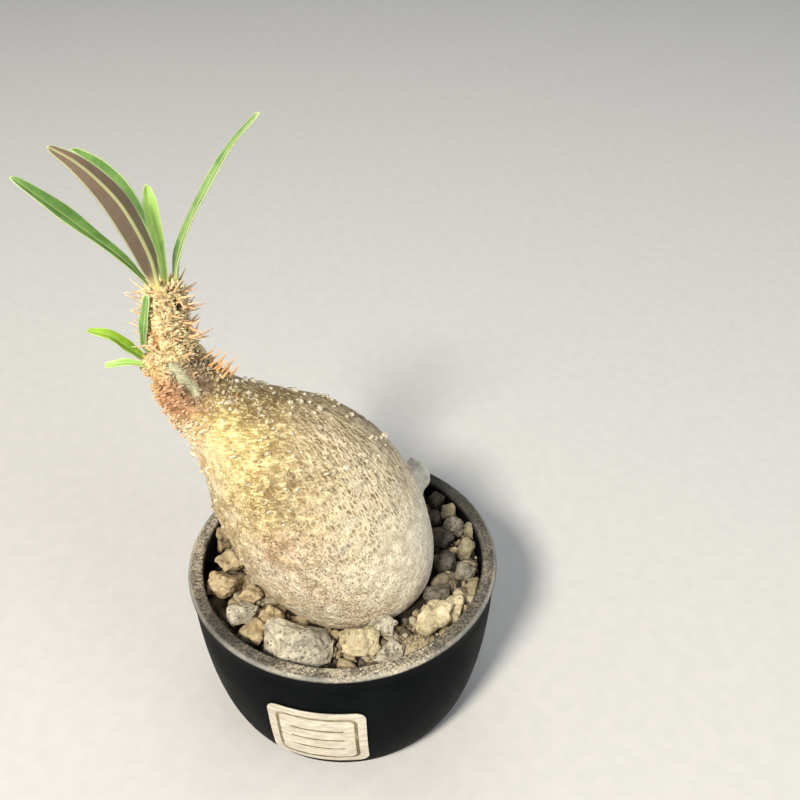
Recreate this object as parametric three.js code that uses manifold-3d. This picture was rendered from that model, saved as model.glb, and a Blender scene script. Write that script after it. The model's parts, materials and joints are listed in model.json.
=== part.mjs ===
// A young Pachypodium gracilius in a small black pot: a leaning swollen stem
// that rests in pumice gravel, a spiny branch with a side shoot, and eight leaves.
// Millimetres, +Z up. The origin is the centre of the pot's flat base.

import * as THREE from "three";
import { ConvexGeometry } from "three/addons/geometries/ConvexGeometry.js";
import { mergeVertices } from "three/addons/utils/BufferGeometryUtils.js";
import Module from "manifold-3d";

const wasm = await Module();
wasm.setup();

// Driving dimensions
const CLEARANCE = 0.3;
const POT = {
  height: 57.5,
  rimRadius: 47.5,
  lipRadius: 43,
  bodyRadius: 46.8,
  bodyTop: 54.5,
  baseRadius: 30,
  floor: 5,
  innerBaseRadius: 24,
  fullness: 1.95,
  roundness: 0.38,
  sides: 40,
  crowding: 2.2,
};

// The rim's outer section from below upwards: in from the rim's radius, then down from its top
const RIM = [
  [0.2, 2.2],
  [0, 1.3],
  [0.4, 0.4],
  [1.2, 0],
];
const LIP_ROUND = 0.8;
const DRAIN = { radius: 3.5, circle: 14, count: 3, sides: 16 };
const LABEL = {
  width: 28.8,
  height: 28.8,
  corner: 3.2,
  thickness: 0.6,
  middleHeight: 27.2,
  azimuth: -8.1,
  lean: 0.3,
  columns: 8,
  rows: 8,
};
const GRAVEL = {
  top: 49,
  pebbles: 84,
  radius: 2.3,
  spread: 0.7,
  below: 0.35,
  shape: [2.3, 1.9, 1.7],
  corners: 9,
  innerShare: 0.3,
  wallGap: 2.6,
  wander: 0.4,
  lowest: 0.1,
  rise: 0.4,
  seed: 11,
};

// The stem's stations from its buried end to its tip: x, y, z and radius
const STEM = [
  [7.6, 0, 41.2, 9],
  [7.0, 0, 44.8, 17],
  [6.0, 0, 50.0, 22.7],
  [3.3, 0, 57.8, 25.9],
  [-1.6, 0, 68.8, 28.2],
  [-7.6, 0, 80.4, 27.9],
  [-12.3, 0, 88.0, 26.4],
  [-19.1, 0, 96.9, 22.5],
  [-25.8, 0, 105.0, 16.4],
  [-32.9, 0, 112.9, 11.3],
  [-37.4, 0, 119.0, 9.6],
  [-40.1, 0, 124.4, 8.5],
  [-41.3, 0, 129.4, 7.0],
  [-42.1, 0, 134.2, 6.0],
  [-42.6, 0, 138.4, 5.5],
  [-42.4, 0, 143.0, 5.2],
  [-41.9, 0, 147.4, 5.0],
  [-41.5, 0, 151.0, 4.7],
  [-41.3, 0, 152.6, 3.4],
];
const STEM_SIDES = 24;
const SHOOT = [
  [-38.6, 0, 122.6, 6.2],
  [-42.0, -0.3, 126.4, 6.4],
  [-45.4, -0.6, 129.2, 4.8],
  [-48.0, -0.8, 130.9, 3.7],
  [-49.3, -0.9, 131.7, 2.6],
];
const SHOOT_SIDES = 12;

// Rows of spines in pairs: stations along a stem, pairs, length and how far apart they lean
const SPINE = {
  radius: 0.48,
  sunk: 1.2,
  cushion: 1.3,
  cushionHeight: 0.9,
  turn: 137.5,
  wander: 14,
  uneven: 0.5,
  lean: 0.25,
  leafGap: 1.1,
  stemGap: 0.8,
};
const SPINE_ROWS = [
  { stem: "trunk", from: 9.2, to: 10.6, pairs: 12, length: 2.2, part: 22, seed: 3 },
  { stem: "trunk", from: 10.7, to: 12.4, pairs: 10, length: 3.2, part: 20, seed: 5 },
  { stem: "trunk", from: 12.6, to: 17.2, pairs: 24, length: 4.6, part: 17, seed: 7, cushions: true },
  { stem: "shoot", from: 1.7, to: 3.7, pairs: 9, length: 2.6, part: 20, seed: 9, cushions: true },
];

// The longer spines along the upper side of the neck: their middle angle and how far they stray
const LONG_SPINES = {
  from: 9.8,
  to: 11.3,
  count: 9,
  length: 5.2,
  angle: 98,
  stray: 18,
  lift: 0.45,
  shorter: 0.3,
};
const WART = {
  count: 40,
  from: 5.4,
  to: 9.4,
  radius: 1.25,
  height: 0.75,
  crowding: 0.7,
  wander: 30,
  uneven: 0.6,
  seed: 21,
};
const BUMP_SUNK = 0.8;

// Leaves: midrib points from root to tip, blade width, the way the upper face looks, the fold
// in degrees, and a taper that is under 1 where the blade is widest near its root
const LEAF = { thickness: 0.9, rootWidth: 1.4, stalk: 0.07, fullness: 0.85, stations: 9 };

// A blade's section: shares of its half width across, then of its half thickness towards its face
const LEAF_SECTION = [
  [-1, 0.75],
  [-0.5, 0.85],
  [0, 0.7],
  [0.5, 0.85],
  [1, 0.75],
  [1, -0.75],
  [0.5, -0.85],
  [0, -1.3],
  [-0.5, -0.85],
  [-1, -0.75],
];
const LEAVES = [
  {
    name: "leaf_far_left",
    width: 5.0,
    face: [0.84, -0.17, 0.52],
    fold: 20,
    taper: 2.05,
    path: [
      [-43.6, -0.5, 150.4],
      [-46.5, -0.3, 154.4],
      [-50.4, -1.0, 160.5],
      [-57.1, -2.5, 168.5],
      [-63.7, -4.0, 176.1],
      [-70.9, -5.0, 183.5],
    ],
  },
  {
    name: "leaf_broad",
    width: 7.0,
    face: [-0.86, 0.52, 0.03],
    fold: 20,
    taper: 0.78,
    path: [
      [-42.3, -2.4, 150.9],
      [-42.5, -3.3, 157.3],
      [-42.6, -5.0, 163.4],
      [-43.6, -8.0, 171.7],
      [-45.5, -10.8, 179.8],
      [-48.5, -13.0, 186.2],
      [-52.1, -14.4, 191.1],
      [-56.9, -15.0, 194.8],
    ],
  },
  {
    name: "leaf_behind",
    width: 6.3,
    face: [-0.26, -0.95, 0.19],
    fold: 20,
    taper: 2.2,
    path: [
      [-42.3, 2.3, 150.9],
      [-42.5, 3.4, 154.8],
      [-44.5, 6.0, 163.3],
      [-48.8, 9.0, 171.6],
      [-54.7, 12.0, 177.4],
      [-62.9, 15.0, 182.2],
    ],
  },
  {
    name: "leaf_young",
    width: 3.6,
    face: [0.5, -0.85, 0.17],
    fold: 36,
    taper: 2.2,
    path: [
      [-41.1, -0.1, 151.2],
      [-41.0, 0.0, 157.5],
      [-41.4, 0.5, 164.0],
      [-42.1, 1.0, 172.3],
      [-42.1, 1.0, 179.1],
    ],
  },
  {
    name: "leaf_right",
    width: 3.6,
    face: [-0.77, -0.49, 0.41],
    fold: 20,
    taper: 0.78,
    path: [
      [-38.8, 0.8, 150.8],
      [-38.3, 1.4, 155.4],
      [-37.3, 2.6, 159.8],
      [-34.0, 3.4, 167.4],
      [-28.4, 4.0, 177.0],
      [-21.9, 5.0, 186.7],
      [-14.5, 5.0, 194.8],
    ],
  },
  {
    name: "shoot_leaf_arched",
    width: 3.8,
    face: [0.36, -0.31, 0.88],
    fold: 20,
    taper: 1.0,
    path: [
      [-49.2, -1.1, 130.8],
      [-51.0, -2.2, 133.4],
      [-53.3, -3.5, 136.8],
      [-56.3, -5.0, 140.8],
      [-61.2, -6.0, 142.9],
    ],
  },
  {
    name: "shoot_leaf_low",
    width: 2.2,
    face: [0.19, -0.44, 0.88],
    fold: 30,
    taper: 2.1,
    path: [
      [-48.5, -3.4, 129.9],
      [-50.2, -4.6, 131.8],
      [-53.4, -5.7, 132.9],
      [-58.4, -6.5, 132.4],
    ],
  },
  {
    name: "shoot_leaf_upright",
    width: 3.0,
    face: [-0.59, -0.8, 0.1],
    fold: 22,
    taper: 1.36,
    path: [
      [-47.7, 0.2, 131.2],
      [-48.5, -1.4, 134.8],
      [-47.5, -3.6, 141.2],
      [-46.0, -4.6, 146.9],
      [-44.5, -5.0, 152.7],
    ],
  },
];

// A stone's corners: how many, how far they wander, how uneven they are and how square it is
const STONE = { corners: 26, wander: 0.7, inner: 0.9, uneven: 0.16, squareness: 0.75, tilt: 6 };
const GOLDEN_TURN = Math.PI * (3 - Math.sqrt(5));

// Large stones: name, tint, centre x, y, z, then width, depth, height and turn in degrees
const STONES = [
  ["stone_speckled", "grey", -10.8, -31.6, 52.6, 25, 13, 11.5, -6],
  ["stone_square", "tan", -36.4, -8.4, 52.4, 11.5, 10, 9, 12],
  ["stone_smooth", "grey", -29.6, -19.4, 51.8, 11, 8.5, 8, 30],
  ["stone_left_small", "tan", -27.6, -11.2, 50.8, 8, 5.6, 6, 10],
  ["stone_left_wedge", "tan", -25.6, -25.6, 50.6, 10.5, 8.5, 7.5, -25],
  ["stone_front_wedge", "tan", -20.1, -21.6, 51.0, 7.5, 9.5, 7, 25],
  ["stone_cream", "cream", 5.8, -31.0, 53.0, 12.5, 11, 9.5, 8],
  ["stone_pale_small", "grey", 12.6, -25.4, 54.0, 9.5, 7.5, 7.5, -15],
  ["stone_front_low", "grey", 14.4, -33.4, 50.8, 10.5, 7, 7, 20],
  ["stone_long", "cream", 29.7, -20.8, 53.2, 17.5, 9.5, 8.5, 40],
  ["stone_shade", "brown", 28.9, -11.2, 50.2, 9, 8, 7, 10],
  ["stone_left_upright", "tan", -39.2, 10.6, 53.2, 5, 6.5, 9, 0],
  ["stone_left_wide", "tan", -35.3, 3.0, 51.0, 11.5, 8, 6.5, -8],
  ["stone_rear", "grey", 21.8, 30.6, 60.8, 12, 10.5, 16, 24],
  ["stone_right_1", "brown", 30.5, 28.4, 53.4, 7.5, 6.5, 6.5, 35],
  ["stone_right_2", "cream", 34.8, 23.2, 53.6, 8.5, 5.6, 6, 40],
  ["stone_right_3", "brown", 29.4, 21.4, 51.6, 6.5, 6, 6, 10],
  ["stone_right_4", "grey", 35.6, 16.6, 52.6, 7.5, 6, 6.5, -20],
  ["stone_right_5", "cream", 41.2, 13.0, 54.0, 6.5, 6.5, 7, 15],
  ["stone_right_6", "brown", 31.6, 11.6, 52.4, 8, 7, 7, 30],
  ["stone_right_7", "cream", 38.8, 6.0, 52.8, 6, 7.5, 7.5, 0],
  ["stone_right_8", "brown", 32.0, 1.0, 52.4, 8.5, 9, 7, 20],
  ["stone_right_9", "grey", 37.6, -3.0, 52.4, 7.5, 7, 6.5, -10],
  ["stone_right_10", "cream", 40.2, -9.4, 52.6, 5.2, 6, 6, 10],
  ["stone_back_1", "tan", 10.5, 36.0, 52.8, 10, 8, 8, 12],
  ["stone_back_2", "grey", -1.5, 35.0, 52.2, 11, 9, 8, -15],
  ["stone_back_3", "cream", -14.0, 35.4, 52.6, 9, 7.5, 7.5, 30],
  ["stone_back_4", "tan", -24.0, 29.0, 52.4, 10, 8.5, 8, -30],
  ["stone_back_5", "grey", -33.0, 20.6, 52.2, 9, 7.5, 7.5, 40],
];

// Helpers for random draws, curves and closed bodies
function randomSource(seed) {
  let state = seed * 7919 + 17;
  return () => {
    state = (state * 1664525 + 1013904223) % 4294967296;
    return state / 4294967296;
  };
}

function splineAt(stations, position) {
  const last = stations.length - 1;
  const index = Math.min(Math.floor(position), last - 1);
  const share = position - index;
  return stations[index].map((_, axis) => {
    const here = stations[index][axis];
    const next = stations[index + 1][axis];
    const before = index > 0 ? stations[index - 1][axis] : 2 * here - next;
    const after = index + 2 <= last ? stations[index + 2][axis] : 2 * next - here;
    const slope = (next - before) / 2;
    const nextSlope = (after - here) / 2;
    const rise = next - here;
    const curve = 3 * rise - 2 * slope - nextSlope;
    const bend = slope + nextSlope - 2 * rise;
    return here + share * (slope + share * (curve + share * bend));
  });
}

function pointAt(stations, position) {
  const [x, y, z] = splineAt(stations, position);
  return new THREE.Vector3(x, y, z);
}

function directionAt(stations, position) {
  const last = stations.length - 1;
  const step = 0.05;
  const ahead = pointAt(stations, Math.min(position + step, last));
  const behind = pointAt(stations, Math.max(position - step, 0));
  return ahead.sub(behind).normalize();
}

// A closed body through rings of an even number of points, its two ends closed by strips
function bodyFromRings(rings) {
  const count = rings[0].length;
  const positions = [];
  const faces = [];
  rings.flat().forEach((point) => positions.push(point.x, point.y, point.z));
  for (let ring = 0; ring + 1 < rings.length; ring += 1) {
    for (let side = 0; side < count; side += 1) {
      const a = ring * count + side;
      const b = ring * count + ((side + 1) % count);
      faces.push(a, b, a + count, b, b + count, a + count);
    }
  }
  const capEnd = (ring, reverse) => {
    for (let side = 0; side + 1 < count / 2; side += 1) {
      const a = ring * count + side;
      const b = ring * count + side + 1;
      const c = ring * count + count - 2 - side;
      const d = ring * count + count - 1 - side;
      faces.push(...(reverse ? [b, a, d, c, b, d] : [a, b, d, b, c, d]));
    }
  };
  capEnd(0, true);
  capEnd(rings.length - 1, false);
  const geometry = new THREE.BufferGeometry();
  geometry.setAttribute("position", new THREE.Float32BufferAttribute(positions, 3));
  geometry.setIndex(faces);
  return geometry;
}

function toSolid(geometry) {
  const bare = geometry.clone();
  bare.deleteAttribute("normal");
  bare.deleteAttribute("uv");
  const merged = mergeVertices(bare, 1e-4);
  const index = merged.index.array;
  const corners = [];
  for (let i = 0; i < index.length; i += 3) {
    const [a, b, c] = [index[i], index[i + 1], index[i + 2]];
    if (a !== b && b !== c && a !== c) {
      corners.push(a, b, c);
    }
  }
  const mesh = new wasm.Mesh({
    numProp: 3,
    vertProperties: new Float32Array(merged.attributes.position.array),
    triVerts: new Uint32Array(corners),
  });
  return new wasm.Manifold(mesh);
}

function toGeometry(solid) {
  const mesh = solid.getMesh();
  const geometry = new THREE.BufferGeometry();
  geometry.setAttribute("position", new THREE.BufferAttribute(mesh.vertProperties, 3));
  geometry.setIndex(new THREE.BufferAttribute(mesh.triVerts, 1));
  geometry.computeVertexNormals();
  return geometry;
}

function joined(solids) {
  return solids.reduce((whole, solid) => whole.add(solid));
}

function largestBody(solid) {
  const bodies = solid.decompose();
  return bodies.reduce((best, body) => (body.volume() > best.volume() ? body : best));
}

function material(color, roughness) {
  return new THREE.MeshStandardMaterial({ color, roughness, metalness: 0, flatShading: true });
}

// The pot
function wallRadius(z) {
  const share = THREE.MathUtils.clamp((POT.bodyTop - z) / POT.bodyTop, 0, 1);
  const reach = POT.bodyRadius - POT.baseRadius;
  return POT.baseRadius + reach * (1 - share ** POT.fullness) ** POT.roundness;
}

function innerRadius(z) {
  const depth = POT.height - POT.floor;
  const share = THREE.MathUtils.clamp((POT.height - z) / depth, 0, 1);
  const reach = POT.lipRadius - POT.innerBaseRadius;
  return POT.innerBaseRadius + reach * (1 - share ** POT.fullness) ** POT.roundness;
}

// Heights that crowd towards the foot, where the wall turns fastest
function crowdedHeights(bottom, top, count) {
  const steps = Array.from({ length: count + 1 }, (_, step) => (step / count) ** POT.crowding);
  return steps.map((share) => bottom + (top - bottom) * share);
}

function turned(profile, sides) {
  const geometry = new THREE.LatheGeometry(
    profile.map(([radius, z]) => new THREE.Vector2(radius, z)),
    sides,
  );
  return geometry.rotateX(Math.PI / 2);
}

function potSolid() {
  const outside = crowdedHeights(0, POT.bodyTop, 8).map((z) => [wallRadius(z), z]);
  const rim = RIM.map(([inward, down]) => [POT.rimRadius - inward, POT.height - down]);
  const lip = [
    [POT.lipRadius + LIP_ROUND, POT.height],
    [POT.lipRadius, POT.height - LIP_ROUND],
  ];
  const inside = crowdedHeights(POT.floor, POT.height - 3, 6).map((z) => [innerRadius(z), z]);
  const profile = [[0, 0], ...outside, ...rim, ...lip, ...inside.reverse(), [0, POT.floor]];
  let pot = toSolid(turned(profile, POT.sides));
  for (let hole = 0; hole < DRAIN.count; hole += 1) {
    const angle = (hole / DRAIN.count) * 2 * Math.PI;
    const drill = new THREE.CylinderGeometry(DRAIN.radius, DRAIN.radius, 4 * POT.floor, DRAIN.sides);
    drill.rotateX(Math.PI / 2);
    drill.translate(DRAIN.circle * Math.cos(angle), DRAIN.circle * Math.sin(angle), 0);
    pot = pot.subtract(toSolid(drill));
  }
  return pot;
}

// What the pot can hold: its inside less the clearance, carried up past the rim
function potRoom() {
  const wall = crowdedHeights(POT.floor + CLEARANCE, POT.height, 6);
  const inside = wall.map((z) => [innerRadius(z - CLEARANCE) - CLEARANCE, z]);
  const above = POT.height + 40;
  const mouth = POT.lipRadius - CLEARANCE;
  return toSolid(turned([[0, POT.floor + CLEARANCE], ...inside, [mouth, above], [0, above]], POT.sides));
}

// The label, a rounded card that follows the wall
function labelSolid() {
  const halfWidth = LABEL.width / 2;
  const halfHeight = LABEL.height / 2;
  const lean = THREE.MathUtils.degToRad(LABEL.lean);
  const edge = (height) => {
    const past = Math.max(Math.abs(height) - (halfHeight - LABEL.corner), 0);
    return halfWidth - LABEL.corner + Math.sqrt(Math.max(LABEL.corner ** 2 - past ** 2, 0.2));
  };
  const onWall = (across, height, lift) => {
    const z = LABEL.middleHeight + height * Math.cos(lean) - across * Math.sin(lean);
    const drop = wallRadius(z + 0.5) - wallRadius(z - 0.5);
    const tilt = Math.atan(drop);
    const around = across * Math.cos(lean) + height * Math.sin(lean);
    const angle = THREE.MathUtils.degToRad(LABEL.azimuth) + around / wallRadius(z);
    const radius = wallRadius(z) + lift * Math.cos(tilt);
    return new THREE.Vector3(
      radius * Math.sin(angle),
      -radius * Math.cos(angle),
      z - lift * Math.sin(tilt),
    );
  };
  const rings = [];
  for (let row = 0; row <= LABEL.rows; row += 1) {
    const height = -halfHeight * Math.cos((row / LABEL.rows) * Math.PI);
    const reach = edge(height);
    const ring = [];
    for (let column = 0; column <= LABEL.columns; column += 1) {
      const across = (column / LABEL.columns - 0.5) * 2 * reach;
      ring.push(onWall(across, height, CLEARANCE + LABEL.thickness));
    }
    for (let column = LABEL.columns; column >= 0; column -= 1) {
      const across = (column / LABEL.columns - 0.5) * 2 * reach;
      ring.push(onWall(across, height, CLEARANCE));
    }
    rings.push(ring);
  }
  return toSolid(bodyFromRings(rings));
}

// The swollen stem and its side shoot
function frameAt(stations, position) {
  const along = directionAt(stations, position);
  const side = new THREE.Vector3(0, -1, 0);
  side.addScaledVector(along, -side.dot(along)).normalize();
  const out = new THREE.Vector3().crossVectors(side, along);
  return { along, side, out };
}

// A point on a stem's skin: angle 0 is the front, 90 the upper side, 270 the underside
function skinPoint(stations, position, angle, grow) {
  const { side, out } = frameAt(stations, position);
  const radius = splineAt(stations, position)[3] + grow;
  const turn = THREE.MathUtils.degToRad(angle);
  const normal = new THREE.Vector3();
  normal.addScaledVector(side, Math.cos(turn));
  normal.addScaledVector(out, -Math.sin(turn));
  const point = pointAt(stations, position).addScaledVector(normal, radius);
  return { point, normal };
}

function stemBody(stations, sides, perStation, grow) {
  const rings = [];
  const steps = (stations.length - 1) * perStation;
  for (let step = 0; step <= steps; step += 1) {
    const position = step / perStation;
    const ring = [];
    const { along } = frameAt(stations, position);
    const stretch = step === 0 ? -grow : step === steps ? grow : 0;
    for (let side = 0; side < sides; side += 1) {
      const { point } = skinPoint(stations, position, (side / sides) * 360, grow);
      ring.push(point.addScaledVector(along, stretch));
    }
    rings.push(ring);
  }
  return toSolid(bodyFromRings(rings));
}

function aimed(geometry, root, direction) {
  const up = new THREE.Vector3(0, 1, 0);
  const turn = new THREE.Quaternion().setFromUnitVectors(up, direction.clone().normalize());
  geometry.applyQuaternion(turn);
  geometry.translate(root.x, root.y, root.z);
  return geometry;
}

function spineSolid(root, direction, length) {
  const full = length + SPINE.sunk;
  const cone = new THREE.ConeGeometry(SPINE.radius, full, 3);
  cone.translate(0, full / 2 - SPINE.sunk, 0);
  return toSolid(aimed(cone, root, direction));
}

// A low pointed bump: the cushion under a pair of spines, or a wart
function bumpSolid(root, normal, radius, height, sides) {
  const full = height + BUMP_SUNK;
  const bump = new THREE.ConeGeometry((radius * full) / height, full, sides);
  bump.translate(0, (height - BUMP_SUNK) / 2, 0);
  return toSolid(aimed(bump, root, normal));
}

function clearOfLeaves(root, direction, length) {
  for (const leaf of LEAVES) {
    for (let step = 0; step <= 24; step += 1) {
      const share = step / 24;
      const rib = pointAt(leaf.path, share * (leaf.path.length - 1));
      for (const part of [0, 0.5, 1]) {
        const probe = root.clone().addScaledVector(direction, part * length);
        if (probe.distanceTo(rib) < bladeWidth(leaf, share) / 2 + SPINE.leafGap) {
          return false;
        }
      }
    }
  }
  return true;
}

function outsideOf(stations, point, margin) {
  const steps = 40;
  for (let step = 0; step <= steps; step += 1) {
    const position = (step / steps) * (stations.length - 1);
    const radius = splineAt(stations, position)[3];
    if (point.distanceTo(pointAt(stations, position)) < radius + margin) {
      return false;
    }
  }
  return true;
}

function spineRow(row) {
  const stations = row.stem === "trunk" ? STEM : SHOOT;
  const other = row.stem === "trunk" ? SHOOT : STEM;
  const random = randomSource(row.seed);
  const solids = [];
  for (let pair = 0; pair < row.pairs; pair += 1) {
    const position = row.from + ((pair + 0.5) / row.pairs) * (row.to - row.from);
    const angle = pair * SPINE.turn + random() * SPINE.wander;
    const { point, normal } = skinPoint(stations, position, angle, 0);
    const { along } = frameAt(stations, position);
    const length = row.length * (1 + SPINE.uneven * (random() - 0.5));
    if (!outsideOf(other, point, SPINE.stemGap)) {
      continue;
    }
    if (row.cushions) {
      solids.push(bumpSolid(point, normal, SPINE.cushion, SPINE.cushionHeight, 4));
    }
    for (const turn of [-1, 1]) {
      const lean = THREE.MathUtils.degToRad(turn * row.part);
      const around = new THREE.Vector3().crossVectors(along, normal);
      const direction = normal.clone().multiplyScalar(Math.cos(lean));
      direction.addScaledVector(around, Math.sin(lean));
      direction.addScaledVector(along, SPINE.lean * random()).normalize();
      if (clearOfLeaves(point, direction, length)) {
        solids.push(spineSolid(point, direction, length));
      }
    }
  }
  return solids;
}

// The row of longer spines along the upper side of the neck
function longSpines() {
  const solids = [];
  for (let index = 0; index < LONG_SPINES.count; index += 1) {
    const share = index / (LONG_SPINES.count - 1);
    const position = LONG_SPINES.from + share * (LONG_SPINES.to - LONG_SPINES.from);
    const angle = LONG_SPINES.angle + LONG_SPINES.stray * Math.sin(2 * index);
    const { point, normal } = skinPoint(STEM, position, angle, 0);
    const direction = normal.clone().add(new THREE.Vector3(0, 0, LONG_SPINES.lift)).normalize();
    const length = LONG_SPINES.length * (1 - LONG_SPINES.shorter * share);
    solids.push(spineSolid(point, direction, length));
  }
  return solids;
}

function warts() {
  const random = randomSource(WART.seed);
  const solids = [];
  for (let index = 0; index < WART.count; index += 1) {
    const share = ((index + 0.5) / WART.count) ** WART.crowding;
    const position = WART.from + share * (WART.to - WART.from);
    const angle = index * SPINE.turn + WART.wander * random();
    const { point, normal } = skinPoint(STEM, position, angle, 0);
    const size = WART.radius * (1 + WART.uneven * (random() - 0.5));
    solids.push(bumpSolid(point, normal, size, WART.height, 5));
  }
  return solids;
}

function plantSolid() {
  const trunk = stemBody(STEM, STEM_SIDES, 1, 0);
  const shoot = stemBody(SHOOT, SHOOT_SIDES, 2, 0);
  const spines = SPINE_ROWS.flatMap(spineRow);
  const plant = joined([trunk, shoot, ...warts(), ...spines, ...longSpines()]);
  const sockets = LEAVES.map((leaf) => leafSolid(leaf, CLEARANCE));
  return largestBody(sockets.reduce((left, socket) => left.subtract(socket), plant));
}

// Leaves: long blades folded along the midrib, on short stalks
function bladeWidth(leaf, share) {
  const blade = THREE.MathUtils.clamp((share - LEAF.stalk) / (1 - LEAF.stalk), 0, 1);
  const swell = Math.max(Math.sin(Math.PI * blade ** leaf.taper), 0) ** LEAF.fullness;
  return LEAF.rootWidth + (leaf.width - LEAF.rootWidth) * swell;
}

function leafFrame(leaf, share) {
  const along = directionAt(leaf.path, share * (leaf.path.length - 1));
  const face = new THREE.Vector3(...leaf.face);
  face.addScaledVector(along, -face.dot(along)).normalize();
  const across = new THREE.Vector3().crossVectors(along, face);
  return { along, face, across };
}

function leafSolid(leaf, grow) {
  const rings = [];
  for (let station = 0; station <= LEAF.stations; station += 1) {
    const share = station / LEAF.stations;
    const { along, face, across } = leafFrame(leaf, share);
    const rib = pointAt(leaf.path, share * (leaf.path.length - 1));
    if (station === 0) {
      rib.addScaledVector(along, -grow);
    }
    const half = bladeWidth(leaf, share) / 2 + grow;
    const rise = Math.tan(THREE.MathUtils.degToRad(leaf.fold));
    const thick = LEAF.thickness / 2 + grow;
    rings.push(
      LEAF_SECTION.map(([reach, side]) => {
        const lift = Math.abs(reach) * (half - grow) * rise + side * thick;
        return rib
          .clone()
          .addScaledVector(across, reach * half)
          .addScaledVector(face, lift);
      }),
    );
  }
  return toSolid(bodyFromRings(rings));
}

// Stones: convex blocks with worn corners
function stoneGeometry(seed, [width, depth, height], points, grow) {
  const random = randomSource(seed);
  const corners = [];
  for (let index = 0; index < points; index += 1) {
    const level = 1 - (2 * (index + 0.5)) / points;
    const ring = Math.sqrt(1 - level ** 2);
    const angle = index * GOLDEN_TURN + random() * STONE.wander;
    const way = new THREE.Vector3(ring * Math.cos(angle), ring * Math.sin(angle), level);
    const squared = (way.x ** 4 + way.y ** 4 + way.z ** 4) ** 0.25;
    way.multiplyScalar((STONE.inner + STONE.uneven * random()) / squared ** STONE.squareness);
    corners.push(
      new THREE.Vector3(
        way.x * (width / 2 + grow),
        way.y * (depth / 2 + grow),
        way.z * (height / 2 + grow),
      ),
    );
  }
  return new ConvexGeometry(corners);
}

function placedStone(stone, index, grow) {
  const [, , x, y, z, width, depth, height, turn] = stone;
  const geometry = stoneGeometry(index + 31, [width, depth, height], STONE.corners, grow);
  geometry.rotateY(THREE.MathUtils.degToRad(STONE.tilt * Math.sin(index * 1.7)));
  geometry.rotateZ(THREE.MathUtils.degToRad(turn));
  geometry.translate(x, y, z);
  return toSolid(geometry);
}

function stoneSolids(room, stemRoom) {
  return STONES.map((stone, index) => {
    let solid = placedStone(stone, index, 0).intersect(room).subtract(stemRoom);
    for (let earlier = 0; earlier < index; earlier += 1) {
      solid = solid.subtract(placedStone(STONES[earlier], earlier, CLEARANCE));
    }
    return largestBody(solid);
  });
}

// The gravel: a filled body with loose pebbles over its top, hollowed where the rest sits
function gravelSolid(room, stemRoom) {
  const past = POT.rimRadius;
  const bed = toSolid(turned([[0, 0], [past, 0], [past, GRAVEL.top], [0, GRAVEL.top]], 12));
  const random = randomSource(GRAVEL.seed);
  const pebbles = [];
  for (let index = 0; index < GRAVEL.pebbles; index += 1) {
    const share = GRAVEL.innerShare + (1 - GRAVEL.innerShare) * ((index + 0.5) / GRAVEL.pebbles);
    const reach = Math.sqrt(share) * (POT.lipRadius - GRAVEL.wallGap);
    const angle = index * GOLDEN_TURN + GRAVEL.wander * random();
    const radius = GRAVEL.radius * (1 + GRAVEL.spread * (random() - GRAVEL.below));
    const sizes = GRAVEL.shape.map((factor) => factor * radius);
    const pebble = stoneGeometry(index + 300, sizes, GRAVEL.corners, 0);
    pebble.rotateZ(random() * Math.PI);
    pebble.translate(
      reach * Math.cos(angle),
      reach * Math.sin(angle),
      GRAVEL.top + radius * (GRAVEL.lowest + GRAVEL.rise * random()),
    );
    pebbles.push(toSolid(pebble));
  }
  let gravel = joined([bed, ...pebbles]).intersect(room).subtract(stemRoom);
  STONES.forEach((stone, index) => {
    gravel = gravel.subtract(placedStone(stone, index, CLEARANCE));
  });
  return largestBody(gravel);
}

// The whole plant in its pot
const TINTS = {
  grey: material(0x9b948a, 0.95),
  tan: material(0xa08c6f, 0.95),
  cream: material(0xb9ad94, 0.95),
  brown: material(0x6f6356, 0.95),
};

function named(name, solid, paint) {
  const mesh = new THREE.Mesh(toGeometry(solid), paint);
  mesh.name = name;
  return mesh;
}

function pottedPlant() {
  const group = new THREE.Group();
  const room = potRoom();
  const stemRoom = stemBody(STEM, STEM_SIDES, 1, CLEARANCE);
  group.add(named("pot", potSolid(), material(0x15171a, 0.45)));
  group.add(named("label", labelSolid(), material(0xd9d6cb, 0.6)));
  group.add(named("gravel", gravelSolid(room, stemRoom), material(0x4f473d, 0.95)));
  stoneSolids(room, stemRoom).forEach((solid, index) => {
    const [name, tint] = STONES[index];
    group.add(named(name, solid, TINTS[tint].clone()));
  });
  group.add(named("plant_stem", plantSolid(), material(0x93805f, 0.85)));
  for (const leaf of LEAVES) {
    group.add(named(leaf.name, leafSolid(leaf, 0), material(0x3f7a2c, 0.5)));
  }
  return group;
}

export default pottedPlant();
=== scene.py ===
# A young Pachypodium gracilius in a small black pot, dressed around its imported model.
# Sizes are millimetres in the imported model's frame, and meshes are written in metres.

import functools
import itertools
import json
import math

import bmesh
import bpy
import numpy as np
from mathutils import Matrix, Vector
from mathutils.bvhtree import BVHTree


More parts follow.
